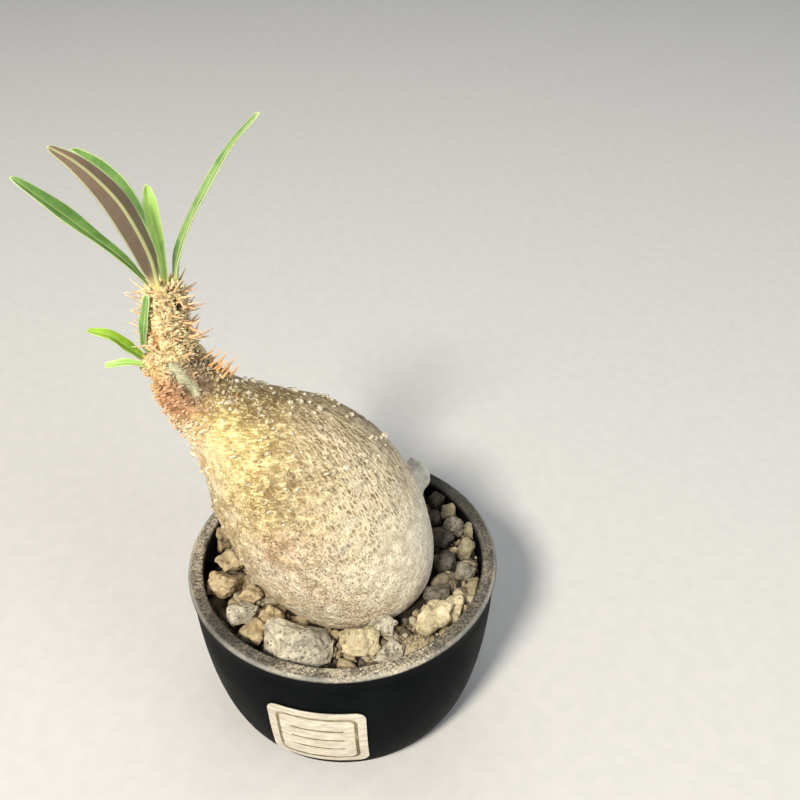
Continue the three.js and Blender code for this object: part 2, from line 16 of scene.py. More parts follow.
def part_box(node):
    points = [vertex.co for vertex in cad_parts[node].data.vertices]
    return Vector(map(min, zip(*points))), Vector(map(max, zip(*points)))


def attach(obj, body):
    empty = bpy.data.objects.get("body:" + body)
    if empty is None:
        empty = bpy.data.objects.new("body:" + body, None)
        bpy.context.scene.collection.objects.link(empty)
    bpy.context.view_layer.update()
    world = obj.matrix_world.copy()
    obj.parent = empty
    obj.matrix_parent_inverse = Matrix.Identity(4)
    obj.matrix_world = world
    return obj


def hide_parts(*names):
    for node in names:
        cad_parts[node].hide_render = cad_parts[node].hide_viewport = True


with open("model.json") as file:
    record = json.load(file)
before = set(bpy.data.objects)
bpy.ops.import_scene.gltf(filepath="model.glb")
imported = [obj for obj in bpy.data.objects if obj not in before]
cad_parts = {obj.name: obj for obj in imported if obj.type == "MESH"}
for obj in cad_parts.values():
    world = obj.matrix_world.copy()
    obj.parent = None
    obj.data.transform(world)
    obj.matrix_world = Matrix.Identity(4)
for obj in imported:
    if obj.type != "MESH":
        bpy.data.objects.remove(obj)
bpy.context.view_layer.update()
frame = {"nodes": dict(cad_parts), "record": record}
MM = 0.001
GOLDEN_TURN = 137.508


# Seeded noise and cell patterns on arrays of points

WORD = 2**32
AXIS_MIX = np.array([374761393, 668265263, 2147483647], np.uint32)
SEED_MIX = 1274126177
LAST_MIX = 2246822519
LATTICE_SHIFT = 1000.0
CELL_JITTER = 0.9


def lattice(cell, seed):
    """A repeatable number from 0 to 1 for each whole lattice point."""
    mixed = np.bitwise_xor.reduce(cell.astype(np.uint32) * AXIS_MIX, axis=1)
    mixed += np.uint32(seed * SEED_MIX % WORD)
    mixed = (mixed ^ (mixed >> np.uint32(13))) * np.uint32(SEED_MIX)
    mixed ^= mixed >> np.uint32(16)
    mixed *= np.uint32(LAST_MIX)
    mixed ^= mixed >> np.uint32(15)
    return mixed / (WORD - 1.0)


def lattice_place(points, size):
    """The lattice point below each point, and the shares of the way to the next one."""
    scaled = np.asarray(points, float) / size + LATTICE_SHIFT
    base = np.floor(scaled).astype(np.int64)
    return base, scaled - base


def smooth_noise(points, size, seed):
    """Soft noise from -1 to 1 with features about size millimetres across."""
    base, share = lattice_place(points, size)
    fade = share * share * (3 - 2 * share)
    total = np.zeros(len(fade))
    for step in itertools.product((0, 1), repeat=3):
        weight = np.where(step, fade, 1 - fade)
        total += weight[:, 0] * weight[:, 1] * weight[:, 2] * lattice(base + step, seed)
    return total * 2 - 1


def layered_noise(points, size, octaves, seed):
    """Noise in octaves, each half as wide and half as high as the one before."""
    return sum(smooth_noise(points, size / 2**k, seed + 17 * k) / 2**k for k in range(octaves))


def warp(points, size, seed):
    return np.stack([smooth_noise(points, size, seed + k) for k in (40, 41, 42)], 1)


def cell_pattern(points, size, seed):
    """Distances to the nearest and second nearest cell centre, in millimetres, and the cell's draw."""
    base, share = lattice_place(points, size)
    nearest = np.full(len(base), 9.0)
    second = nearest.copy()
    draw = np.zeros(len(base))
    for step in itertools.product((-1, 0, 1), repeat=3):
        offset = np.stack([lattice(base + step, seed + k) for k in (1, 2, 3)], 1)
        centre = np.array(step) + 0.5 + CELL_JITTER * (offset - 0.5)
        distance = np.linalg.norm(centre - share, axis=1)
        closer = distance < nearest
        second = np.where(closer, nearest, np.minimum(second, distance))
        draw = np.where(closer, offset[:, 0], draw)
        nearest = np.minimum(nearest, distance)
    return nearest * size, second * size, draw


# Curves and directions

def ramp(values, low, high):
    """Smooth step from 0 at low to 1 at high."""
    share = np.clip((np.asarray(values, float) - low) / (high - low), 0, 1)
    return share * share * (3 - 2 * share)


def bell(away, reach):
    """1 at no distance, falling softly to 0 over about reach."""
    return np.exp(-((away / reach) ** 2))


def spread(angle, middle, reach):
    """A bell around the middle angle, in degrees."""
    return bell((np.asarray(angle) - middle + 180) % 360 - 180, reach)


def unit(vectors):
    return vectors / np.maximum(np.linalg.norm(vectors, axis=-1, keepdims=True), 1e-9)


def circle(sides):
    return np.linspace(0, 2 * math.pi, sides, endpoint=False)


def outward(turn):
    """Level unit vectors at the given turns."""
    return np.stack([np.cos(turn), np.sin(turn), 0 * turn], 1)


def spline(stations, positions):
    """Points on the smooth curve through the stations, at positions counted in stations."""
    stations = np.asarray(stations, float)
    last = len(stations) - 1
    index = np.clip(np.floor(positions).astype(int), 0, last - 1)
    share = (np.asarray(positions, float) - index)[:, None]
    here = stations[index]
    following = stations[index + 1]
    before = np.where((index > 0)[:, None], stations[np.maximum(index - 1, 0)], 2 * here - following)
    beyond = np.minimum(index + 2, last)
    after = np.where((index + 2 <= last)[:, None], stations[beyond], 2 * following - here)
    slope = (following - before) / 2
    next_slope = (after - here) / 2
    rise = following - here
    curve = 3 * rise - 2 * slope - next_slope
    bend = slope + next_slope - 2 * rise
    return here + share * (slope + share * (curve + share * bend))


def directions(stations, positions):
    last = len(stations) - 1
    ahead = spline(stations, np.minimum(positions + 0.05, last))[:, :3]
    behind = spline(stations, np.maximum(positions - 0.05, 0))[:, :3]
    return unit(ahead - behind)


# Meshes from arrays

def place_object(name, data):
    thing = bpy.data.objects.new(name, data)
    bpy.context.scene.collection.objects.link(thing)
    return thing


def mesh_piece(name, points, faces, marks=None, smooth=True):
    """A new object from points in millimetres and faces of equal length, with marks on its points."""
    faces = np.asarray(faces, np.int32)
    mesh = bpy.data.meshes.new(name)
    mesh.vertices.add(len(points))
    mesh.vertices.foreach_set("co", (np.asarray(points) * MM).astype(np.float32).ravel())
    mesh.loops.add(faces.size)
    mesh.loops.foreach_set("vertex_index", faces.ravel())
    mesh.polygons.add(len(faces))
    starts = np.arange(0, faces.size, faces.shape[1], dtype=np.int32)
    mesh.polygons.foreach_set("loop_start", starts)
    mesh.polygons.foreach_set("use_smooth", np.full(len(faces), smooth))
    mesh.update(calc_edges=True)
    mesh.validate()
    piece = place_object(name, mesh)
    store(piece, marks or {})
    return piece


def store(piece, marks):
    """Stores one number a point for each mark."""
    attributes = piece.data.attributes
    for key, values in marks.items():
        layer = attributes.get(key) or attributes.new(key, "FLOAT", "POINT")
        layer.data.foreach_set("value", np.asarray(values, np.float32))


def point_values(piece, key):
    flat = np.zeros(len(piece.data.vertices) * 3, np.float32)
    piece.data.vertices.foreach_get(key, flat)
    return flat.reshape(-1, 3).astype(float)


def points_of(piece):
    return point_values(piece, "co") / MM


def move_points(piece, points):
    piece.data.vertices.foreach_set("co", (np.asarray(points) * MM).astype(np.float32).ravel())
    piece.data.update()


def apply_modifiers(piece):
    graph = bpy.context.evaluated_depsgraph_get()
    mesh = bpy.data.meshes.new_from_object(piece.evaluated_get(graph))
    old = piece.data
    piece.modifiers.clear()
    piece.data = mesh
    bpy.data.meshes.remove(old)


def remesh(piece, voxel, rounds):
    """Fuses a closed piece into one even skin and smooths it."""
    step = piece.modifiers.new("skin", "REMESH")
    step.mode = "VOXEL"
    step.voxel_size = voxel * MM
    step.use_smooth_shade = True
    ease = piece.modifiers.new("ease", "SMOOTH")
    ease.iterations = rounds
    ease.factor = 0.5
    apply_modifiers(piece)


def rings_round(radius, height, sides):
    """Points of rings round the z axis, with the radius and height of each."""
    turn = circle(sides)
    radius = np.asarray(radius)[:, None]
    height = np.asarray(height)[:, None] + 0 * turn
    return np.stack([radius * np.cos(turn), radius * np.sin(turn), height], -1).reshape(-1, 3)


def lathed(radius, height, sides):
    """Points of a turned solid: its rings, then the middle points that close both ends."""
    ends = [[0, 0, height[0]], [0, 0, height[-1]]]
    return np.concatenate([rings_round(radius, height, sides), ends])


def ring_grid(rings, sides):
    """Quads that join rings of points lying one after another."""
    ring = np.arange(rings - 1)[:, None] * sides
    side = np.arange(sides)[None, :]
    after = (side + 1) % sides
    quads = np.stack([ring + side, ring + after, ring + sides + after, ring + sides + side], -1)
    return quads.reshape(-1, 4)


def tube_faces(rings, sides):
    """Triangles of rings closed at both ends by a middle point, which come last in the points."""
    quads = ring_grid(rings, sides)
    side = np.arange(sides)
    after = (side + 1) % sides
    first = np.full(sides, rings * sides)
    top = (rings - 1) * sides
    start = np.stack([after, side, first], 1)
    end = np.stack([top + side, top + after, first + 1], 1)
    return np.concatenate([quads[:, [0, 1, 2]], quads[:, [0, 2, 3]], start, end])


def copies(faces, each, count):
    """The faces of count equal meshes of each points, whose points lie one mesh after another."""
    return (faces[None] + (np.arange(count) * each)[:, None, None]).reshape(-1, faces.shape[1])


def many_tubes(rim, first, last):
    """Points and triangles of closed tubes, whose rims count tubes, rings, sides and axes."""
    count, rings, sides, _ = rim.shape
    points = np.concatenate([rim.reshape(count, -1, 3), np.stack([first, last], 1)], 1)
    return points.reshape(-1, 3), copies(tube_faces(rings, sides), rings * sides + 2, count)


def there_and_back(front, back):
    """Rows that run over the front and return over the back."""
    return np.concatenate([front, back[:, ::-1]], 1)


def joined(sets):
    """Each column of the sets as one array."""
    return [np.concatenate(column) for column in zip(*sets)]


def finish_piece(piece, slot, material, *nodes):
    piece.data.materials.clear()
    piece.data.materials.append(material)
    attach(piece, "root")
    if nodes:
        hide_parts(*nodes)


# Materials

EDGES = "DISTANCE_TO_EDGE"


class Value:
    """What a node of a material gives out. * multiplies, held between 0 and 1; | takes the larger."""

    def __init__(self, skin, socket):
        self.skin = skin
        self.socket = socket

    def __mul__(self, other):
        return self.skin.math("MULTIPLY", self, other, clamp=True)

    def __or__(self, other):
        return self.skin.math("MAXIMUM", self, other)

    def line(self, slope, start):
        """The value times slope, plus start."""
        return self.skin.math("MULTIPLY_ADD", self, slope, start)

    def span(self, low, high, start=0.0, end=1.0):
        """The value carried from low..high to start..end, smoothly and held at both ends."""
        inputs = {"Value": self, "From Min": low, "From Max": high, "To Min": start, "To Max": end}
        return self.skin.node("MapRange", "Result", inputs, interpolation_type="SMOOTHSTEP")


class Skin:
    """A procedural material: a base colour under coats, and short forms for nodes."""

    def __init__(self, name, roughness, specular, more=()):
        self.material = bpy.data.materials.new(name)
        self.material.use_nodes = True
        self.tree = self.material.node_tree
        self.surface = self.tree.nodes["Principled BSDF"].inputs
        self.feed(self.surface, {"Roughness": roughness, "Specular IOR Level": specular})
        self.feed(self.surface, more)
        self.place = self.node("TexCoord", "Object")
        self.base = None

    def feed(self, sockets, values):
        for key, value in dict(values).items():
            if isinstance(value, Value):
                self.tree.links.new(value.socket, sockets[key])
            elif sockets[key].type == "RGBA":
                sockets[key].default_value = (*value, 1.0)
            else:
                sockets[key].default_value = value

    def node(self, kind, output, inputs=(), **settings):
        """A new node with its settings made and its inputs fed by name or number."""
        made = self.tree.nodes.new("ShaderNode" + kind)
        for key, value in settings.items():
            setattr(made, key, value)
        self.feed(made.inputs, inputs)
        return Value(self, made.outputs[output])

    def math(self, operation, *values, clamp=False):
        return self.node("Math", 0, enumerate(values), operation=operation, use_clamp=clamp)

    def mark(self, name):
        """The number of that name stored on the mesh."""
        return self.node("Attribute", "Fac", attribute_name=name)

    def noise(self, size, detail=4.0, rough=0.55, place=None, output="Fac"):
        """Noise with features about size millimetres across."""
        inputs = {"Vector": place or self.place, "Scale": 1 / (size * MM)}
        return self.node("TexNoise", output, {**inputs, "Detail": detail, "Roughness": rough})

    def cells(self, size, feature="F1", place=None):
        inputs = {"Vector": place or self.place, "Scale": 1 / (size * MM)}
        return self.node("TexVoronoi", "Distance", inputs, feature=feature)

    def stretched(self, scale, turn, place=None):
        inputs = {"Vector": place or self.place, "Scale": scale, "Rotation": (0, math.radians(turn), 0)}
        return self.node("Mapping", "Vector", inputs)

    def warped(self, size, amount, place=None):
        """Places pushed about by noise, by amount millimetres."""
        push = self.noise(size, 2.0, 0.5, place, "Color")
        inputs = {0: push, 1: [2 * amount * MM] * 3, 2: place or self.place}
        return self.node("VectorMath", "Vector", inputs, operation="MULTIPLY_ADD")

    def blend(self, share, first, second):
        return self.node("Mix", 2, {0: share, 6: first, 7: second}, data_type="RGBA")

    def coat(self, share, tint):
        """Covers the base with the tint, by that share."""
        self.base = self.blend(share, self.base, tint)

    def finish(self, roughness=None, relief=None, strength=0.0, depth=0.0):
        """The finished material. The relief is depth millimetres deep."""
        self.feed(self.surface, {"Base Color": self.base})
        if roughness:
            self.feed(self.surface, {"Roughness": roughness})
        if relief:
            inputs = {"Height": relief, "Strength": strength, "Distance": depth * MM}
            self.feed(self.surface, {"Normal": self.node("Bump", "Normal", inputs)})
        return self.material


# Camera, light and floor

CAMERA_LENS = 42.75
CAMERA_PLACE = (0.0176, -0.2079, 0.2719)
CAMERA_DIP = 36.73
STUDIO_MIDDLE = (-0.01, 0, 0.08)
WORLD_TINT = (0.90, 0.95, 1.0, 1)
WORLD_STRENGTH = 0.26
FLOOR_REACH = 1500.0

# Each light's name, place in metres, width, power and tint
LIGHTS = [
    ("key", (-0.43, -0.92, 1.12), 0.26, 28.4, (1, 0.94, 0.83)),
    ("fill", (1.25, -0.96, 0.76), 1.0, 10.4, (0.94, 0.96, 1)),
    ("overhead", (0.05, 0.56, 1.42), 1.0, 4.0, (0.96, 0.98, 1)),
]


def make_camera():
    camera = bpy.data.cameras.new("camera")
    camera.lens = CAMERA_LENS
    camera.sensor_width = 36
    camera.clip_start = 0.01
    holder = place_object("camera", camera)
    holder.location = CAMERA_PLACE
    holder.rotation_euler = (math.radians(90 - CAMERA_DIP), 0, 0)
    bpy.context.scene.camera = holder


def make_studio():
    bpy.context.scene.view_settings.view_transform = "Standard"
    world = bpy.data.worlds.new("studio")
    world.use_nodes = True
    backdrop = world.node_tree.nodes["Background"]
    backdrop.inputs["Color"].default_value = WORLD_TINT
    backdrop.inputs["Strength"].default_value = WORLD_STRENGTH
    bpy.context.scene.world = world
    for name, place, width, power, tint in LIGHTS:
        lamp = bpy.data.lights.new(name, "AREA")
        lamp.shape = "DISK"
        lamp.size = width
        lamp.energy = power
        lamp.color = tint
        holder = place_object(name, lamp)
        holder.location = place
        aim = Vector(STUDIO_MIDDLE) - Vector(place)
        holder.rotation_euler = aim.to_track_quat("-Z", "Y").to_euler()


def make_floor():
    corners = np.array([(-1, -1, 0), (1, -1, 0), (1, 1, 0), (-1, 1, 0)]) * FLOOR_REACH
    floor = mesh_piece("floor", corners, [[0, 1, 2, 3]], smooth=False)
    skin = Skin("floor_paper", 0.85, 0.2)
    grain = skin.noise(6.0, 3.0).span(0.3, 0.7)
    skin.base = skin.blend(grain, (0.60, 0.595, 0.58), (0.63, 0.62, 0.605))
    floor.data.materials.append(skin.finish())


# The pot

POT_HEIGHT = 57.5
POT_SIDES = 200
RIM_RADIUS = 47.5
RIM_ROUNDING = 1.3
LIP_RADIUS = 43.0
LIP_ROUNDING = 0.8
WALL_TOP = 54.5
WALL_TOP_RADIUS = 46.8
FOOT_RADIUS = 30.0
FLOOR_HEIGHT = 5.0
FLOOR_RADIUS = 24.0
WALL_FULLNESS = 1.95
WALL_ROUNDNESS = 0.38
DRAIN_HOLES = 3
DRAIN_CIRCLE = 14.0
DRAIN_RADIUS = 3.5
DRILL_REACH = 8
DRILL_SIDES = 32

# Where dust lies on the rim: amount, azimuth and reach in degrees
DUST_BANKS = [(1.1, 172, 28), (0.4, -8, 24), (1.3, -84, 38)]


def bowl_radius(z, top, bottom, top_radius, bottom_radius):
    share = np.clip((top - np.asarray(z, float)) / (top - bottom), 0, 1)
    return bottom_radius + (top_radius - bottom_radius) * (1 - share**WALL_FULLNESS) ** WALL_ROUNDNESS


def wall_radius(z):
    return bowl_radius(z, WALL_TOP, 0, WALL_TOP_RADIUS, FOOT_RADIUS)


def inner_radius(z):
    return bowl_radius(z, POT_HEIGHT, FLOOR_HEIGHT, LIP_RADIUS, FLOOR_RADIUS)


def arc(radius, rounding, start, end, steps):
    """An arc of the pot's section, just under its top."""
    angle = np.radians(np.linspace(start, end, steps))
    return radius + rounding * np.cos(angle), POT_HEIGHT - rounding + rounding * np.sin(angle)


def pot_profile():
    """Radius and height of the pot's section, up the wall, over the rim and down inside."""
    rise = np.linspace(0, 1, 40) ** 2.4
    wall = rise * WALL_TOP
    inside = FLOOR_HEIGHT + rise[::-1] * (POT_HEIGHT - 2 - FLOOR_HEIGHT)
    flat = np.linspace(RIM_RADIUS - 1.9, LIP_RADIUS + 1.0, 5)
    return joined([
        (wall_radius(wall), wall),
        arc(RIM_RADIUS - RIM_ROUNDING, RIM_ROUNDING, -30, 90, 12),
        (flat, POT_HEIGHT + 0.05 * np.sin(flat)),
        arc(LIP_RADIUS + LIP_ROUNDING, LIP_ROUNDING, 90, 180, 8),
        (inner_radius(inside), inside),
    ])


def make_pot():
    radius, height = pot_profile()
    points = lathed(radius, height, POT_SIDES)
    piece = mesh_piece("pot_body", points, tube_faces(len(radius), POT_SIDES))
    drill_holes(piece)
    mark_dust_and_painted_light(piece)
    finish_piece(piece, "pot_glaze", pot_glaze(), "pot")


def drill_holes(piece):
    points = lathed([DRAIN_RADIUS] * 2, [-DRILL_REACH, DRILL_REACH], DRILL_SIDES)
    faces = tube_faces(2, DRILL_SIDES)
    drills = []
    for hole, way in enumerate(outward(circle(DRAIN_HOLES))):
        drill = mesh_piece(f"drill_{hole}", points + DRAIN_CIRCLE * way, faces, smooth=False)
        cut = piece.modifiers.new(f"hole_{hole}", "BOOLEAN")
        cut.operation = "DIFFERENCE"
        cut.solver = "EXACT"
        cut.object = drill
        drills.append(drill)
    apply_modifiers(piece)
    for drill in drills:
        bpy.data.objects.remove(drill)


def mark_dust_and_painted_light(piece):
    """Stores where sandy dust lies, and where the rim's outer edge is painted paler: a painted highlight
    along its rounded edge, with some wear.
    """
    points = points_of(piece)
    height = points[:, 2]
    azimuth = np.degrees(np.arctan2(points[:, 1], points[:, 0]))
    radius = np.hypot(points[:, 0], points[:, 1])
    banks = np.max([amount * spread(azimuth, *place) for amount, *place in DUST_BANKS], axis=0)
    top = ramp(height, POT_HEIGHT - 1.4, POT_HEIGHT - 0.3)
    within = ramp(radius, LIP_RADIUS + 0.9, LIP_RADIUS - 0.1)
    drift = 0.5 + 0.5 * layered_noise(points, 8.0, 4, 5)
    flat = top * (0.10 + banks) * (0.25 + drift) * (1 - 0.7 * within)
    ledge = within * spread(azimuth, -42, 20) * ramp(height, 48, 53) * (0.3 + drift)
    # Painted highlight: a pale band along the rim's rounded outer edge, with some wear.
    edge = ramp(radius, RIM_RADIUS - 1.3, RIM_RADIUS - 0.5)
    edge = edge * ramp(height, POT_HEIGHT - 1.3, POT_HEIGHT - 0.6)
    edge = edge * (0.75 + 0.4 * layered_noise(points, 12, 3, 6))
    store(piece, {"dust": np.clip(np.maximum(flat, ledge), 0, 1), "edge": edge, "top": top})


def pot_glaze():
    skin = Skin("pot_skin", 0.5, 0.015)
    smudge = skin.noise(14.0, 5.0, 0.6)
    fine = skin.noise(0.8, 4.0, 0.65)
    dust = skin.mark("dust")
    skin.base = skin.blend(smudge.span(0.35, 0.7), (0.0022, 0.0030, 0.0037), (0.0058, 0.0068, 0.0076))
    # The rim's flat top is painted a paler grey: partly dust, partly painted light on the ring that faces up.
    skin.coat(skin.mark("top") * fine.span(0.2, 0.8, 0.6, 0.9), (0.042, 0.043, 0.040))
    # Painted highlight along the rim's rounded outer edge, with some wear: a pale grey band.
    skin.coat(skin.mark("edge") * 0.6, (0.42, 0.42, 0.39))
    drift = skin.noise(5.0, 4.0, 0.6).span(0.34, 0.58, 0.36, 1.15)
    film = dust * fine.span(0.36, 0.62, 0.15, 1.25) * drift
    skin.coat(film * 0.85, (0.50, 0.43, 0.315))
    speck = skin.cells(0.95).span(0.36, 0.2)
    loose = dust.span(0.35, 0.85) * speck * skin.noise(2.0, 2.0).span(0.4, 0.6)
    skin.coat(loose, (0.72, 0.63, 0.46))
    rough = skin.math("MULTIPLY_ADD", film, 0.5, smudge.span(0.3, 0.75, 0.42, 0.58), clamp=True)
    return skin.finish(rough, loose.line(1.6, fine * dust), 0.4, 0.12)


# The label

LABEL_HALF = 14.4
LABEL_CORNER = 3.2
LABEL_FRONT = 0.75
LABEL_BACK = 0.35
LABEL_MIDDLE = 27.2
LABEL_AZIMUTH = math.radians(-8.1)
LABEL_LEAN = math.radians(0.3)
LABEL_CURL = 0.12
LABEL_STEPS = 60
FRAME_HALF = 11.4
FRAME_CORNER = 2.4
FRAME_LINE = (0.62, 0.42)
RULED_HEIGHTS = (-5.2, 0.0, 5.2)
RULED_LINE = (0.5, 0.32)
RULED_ENDS = (7.9, 7.6)


def label_point(across, height, lift):
    z = LABEL_MIDDLE + height * math.cos(LABEL_LEAN) - across * math.sin(LABEL_LEAN)
    tilt = np.arctan(wall_radius(z + 0.5) - wall_radius(z - 0.5))
    around = across * math.cos(LABEL_LEAN) + height * math.sin(LABEL_LEAN)
    angle = LABEL_AZIMUTH + around / wall_radius(z)
    radius = wall_radius(z) + lift * np.cos(tilt)
    return np.stack([radius * np.sin(angle), -radius * np.cos(angle), z - lift * np.sin(tilt)], -1)


def make_label():
    """A card with round corners, bent to the pot's wall, its corners a little curled."""
    height = -LABEL_HALF * np.cos(np.linspace(0, math.pi, LABEL_STEPS))[:, None]
    past = np.maximum(np.abs(height) - (LABEL_HALF - LABEL_CORNER), 0)
    reach = LABEL_HALF - LABEL_CORNER + np.sqrt(np.maximum(LABEL_CORNER**2 - past**2, 0.02))
    across = reach * np.sin(np.linspace(-math.pi / 2, math.pi / 2, LABEL_STEPS))
    tall = height + 0 * across
    curl = LABEL_CURL * ramp(np.hypot(across, tall) / LABEL_HALF, 1.1, 1.38)
    front = label_point(across, tall, LABEL_FRONT + curl)
    back = label_point(across, tall, LABEL_BACK + curl)
    sides = 2 * LABEL_STEPS
    faces = [ring_grid(LABEL_STEPS, sides)]
    column = np.arange(LABEL_STEPS - 1)
    for row, order in ((0, -1), (LABEL_STEPS - 1, 1)):
        near = row * sides + column
        far = (row + 1) * sides - 1 - column
        faces.append(np.stack([near, near + 1, far - 1, far], 1)[:, ::order])
    marks = {"label_x": there_and_back(across, across).ravel(), "label_y": there_and_back(tall, tall).ravel()}
    points = there_and_back(front, back).reshape(-1, 3)
    piece = mesh_piece("label_card", points, np.concatenate(faces), marks)
    finish_piece(piece, "label_paper", label_paper(), "label")


def label_paper():
    """Off-white fibrous card with a thin bronze frame and three blank ruled lines."""
    skin = Skin("label_card_skin", 0.62, 0.35)
    x = skin.mark("label_x")
    y = skin.mark("label_y")

    def distance(value, middle):
        return skin.math("ABSOLUTE", skin.math("SUBTRACT", value, middle))

    wide = distance(x, 0.0)
    past = [value.line(1.0, FRAME_CORNER - FRAME_HALF) | 0.0 for value in (wide, distance(y, 0.0))]
    squares = [skin.math("POWER", value, 2.0) for value in past]
    corner = skin.math("SQRT", skin.math("ADD", *squares))
    printed = distance(corner, FRAME_CORNER).span(*FRAME_LINE)
    for height in RULED_HEIGHTS:
        printed = printed | distance(y, height).span(*RULED_LINE) * wide.span(*RULED_ENDS)
    fibre = skin.noise(1.6, 5.0, 0.7, skin.stretched((0.35, 0.35, 1.6), 0))
    bronze = skin.blend(y.span(-12.0, 12.0), (0.10, 0.075, 0.03), (0.20, 0.15, 0.06))
    skin.base = skin.blend(fibre.span(0.35, 0.68), (0.52, 0.45, 0.35), (0.78, 0.71, 0.59))
    skin.coat(printed * skin.noise(3.0).span(0.3, 0.62, 0.55, 1.0), bronze)
    return skin.finish(None, fibre, 0.25, 0.05)


# The stem and the side shoot: x, y, z and radius at each station

STEM = [
    (7.6, 0, 41.2, 9), (7.0, 0, 44.8, 17), (6.0, 0, 50.0, 22.7), (3.3, 0, 57.8, 25.9),
    (-1.6, 0, 68.8, 28.2), (-7.6, 0, 80.4, 27.9), (-12.3, 0, 88.0, 26.4), (-19.1, 0, 96.9, 22.5),
    (-25.8, 0, 105.0, 16.4), (-32.9, 0, 112.9, 11.3), (-37.4, 0, 119.0, 9.6), (-40.1, 0, 124.4, 8.5),
    (-41.3, 0, 129.4, 7.0), (-42.1, 0, 134.2, 6.0), (-42.6, 0, 138.4, 5.5), (-42.4, 0, 143.0, 5.2),
    (-41.9, 0, 147.4, 5.0), (-41.5, 0, 151.0, 4.7), (-41.3, 0, 152.6, 3.4),
]
SHOOT = [
    (-38.6, 0, 122.6, 6.2), (-42.0, -0.3, 126.4, 6.4), (-45.4, -0.6, 129.2, 4.8),
    (-48.0, -0.8, 130.9, 3.7), (-49.3, -0.9, 131.7, 2.6),
]
STEM_TIP = np.array(STEM[-1][:3])
STEM_VOXEL = 0.49
BODY_AXIS = np.array([-0.507, 0, 0.862])

# Marks on the bark: the two ends of each mark's middle line, and its half width
BARK_MARKS = {
    "smooth": [((-40.6, -6.6, 132.0), (-36.0, -7.6, 125.6), 1.5)],
    "strip": [((-36.6, -1.4, 135.4), (-32.2, 0.4, 127.4), 0.55)],
    "hollow": [
        ((-38.2, -3.2, 149.6), (-37.6, -3.2, 147.4), 1.0),
        ((-36.6, -1.0, 133.9), (-33.2, -1.0, 127.9), 0.6),
    ],
    "grey": [
        ((0.6, -25.4, 85.2), (5.8, -24.6, 87.2), 1.5),
        ((2.4, -22.8, 90.8), (6.6, -21.8, 92.4), 1.3),
        ((3.3, -15.6, 100.0), (6.2, -15.2, 101.2), 1.2),
        ((-43.8, -6.2, 133.0), (-41.6, -6.8, 130.8), 2.0),
    ],
    "orange": [((-45.6, -4.6, 140.4), (-45.2, -5.2, 137.0), 1.7)],
}
BARE_MARKS = BARK_MARKS["smooth"] + BARK_MARKS["hollow"] + BARK_MARKS["strip"]

# Tones of the bark, each laid over the ones before: zone, share, dark tint and pale tint
BODY_TONES = [
    ("olive", 0.9, (0.56, 0.41, 0.12), (0.93, 0.77, 0.32)),
    # The silver zone is partly the bark's own silvery grey and partly a painted highlight on the lower right
    # of the belly.
    ("silver_and_highlight", 0.95, (0.66, 0.62, 0.50), (0.91, 0.87, 0.735)),
    ("blush", 0.7, (0.76, 0.59, 0.39), (0.97, 0.83, 0.59)),
    ("moss", 0.85, (0.19, 0.12, 0.045), (0.55, 0.41, 0.16)),
    # The brown zone is partly the bark's own dark brown and partly painted shade along the upper back edge of
    # the belly, which faces away from the light.
    ("brown", 0.85, (0.035, 0.023, 0.010), (0.135, 0.093, 0.044)),
    ("woven", 0.7, (0.24, 0.185, 0.085), (0.57, 0.455, 0.225)),
    ("streaky", 0.75, (0.09, 0.046, 0.026), (0.28, 0.18, 0.11)),
    ("grey", 0.75, (0.27, 0.25, 0.21), (0.48, 0.45, 0.38)),
]
NECK_TONES = [
    ("branch", 1.0, (0.40, 0.28, 0.12), (0.88, 0.73, 0.42)),
    ("gold", 0.8, (0.40, 0.22, 0.06), (0.72, 0.49, 0.17)),
    ("rust", 0.85, (0.20, 0.075, 0.035), (0.60, 0.29, 0.15)),
    # The dusk zone is painted shade on the front-right side of the neck and branch, turned away from the
    # light.
    ("neck_shade", 0.8, (0.085, 0.055, 0.035), (0.27, 0.19, 0.12)),
    ("orange", 0.7, (0.22, 0.09, 0.025), (0.66, 0.34, 0.09)),
    ("smooth", 0.9, (0.36, 0.36, 0.23), (0.56, 0.55, 0.36)),
]

# Tints of the scales' crests: zone, share and tint
CREST_TINTS = [
    ("gold", 0.8, (0.82, 0.55, 0.19)),
    ("rust", 0.85, (0.74, 0.40, 0.26)),
    # Crests in the dusk zone are darkened too: painted shade.
    ("neck_shade", 0.85, (0.42, 0.28, 0.20)),
]


def frames(stations, positions):
    """The stem's line, direction, front and upper side at each position."""
    along = directions(stations, positions)
    front = unit(np.array([0.0, -1.0, 0.0]) + along * along[:, 1:2])
    return spline(stations, positions), along, front, np.cross(along, front)


def skin_points(stations, positions, angles):
    """Points and outward normals on a stem. Angles are in degrees: 0 is the front, 90 the upper side."""
    at, _, front, upper = frames(stations, positions)
    turn = np.radians(angles)[:, None]
    normal = front * np.cos(turn) + upper * np.sin(turn)
    return at[:, :3] + normal * at[:, 3:4], normal


def stem_blank(name, stations, steps, sides):
    positions = np.repeat(np.linspace(0, len(stations) - 1, steps), sides)
    angles = np.tile(np.linspace(360, 0, sides, endpoint=False), steps)
    points, _ = skin_points(stations, positions, angles)
    ends = [stations[0][:3], stations[-1][:3]]
    return mesh_piece(name, np.concatenate([points, ends]), tube_faces(steps, sides))


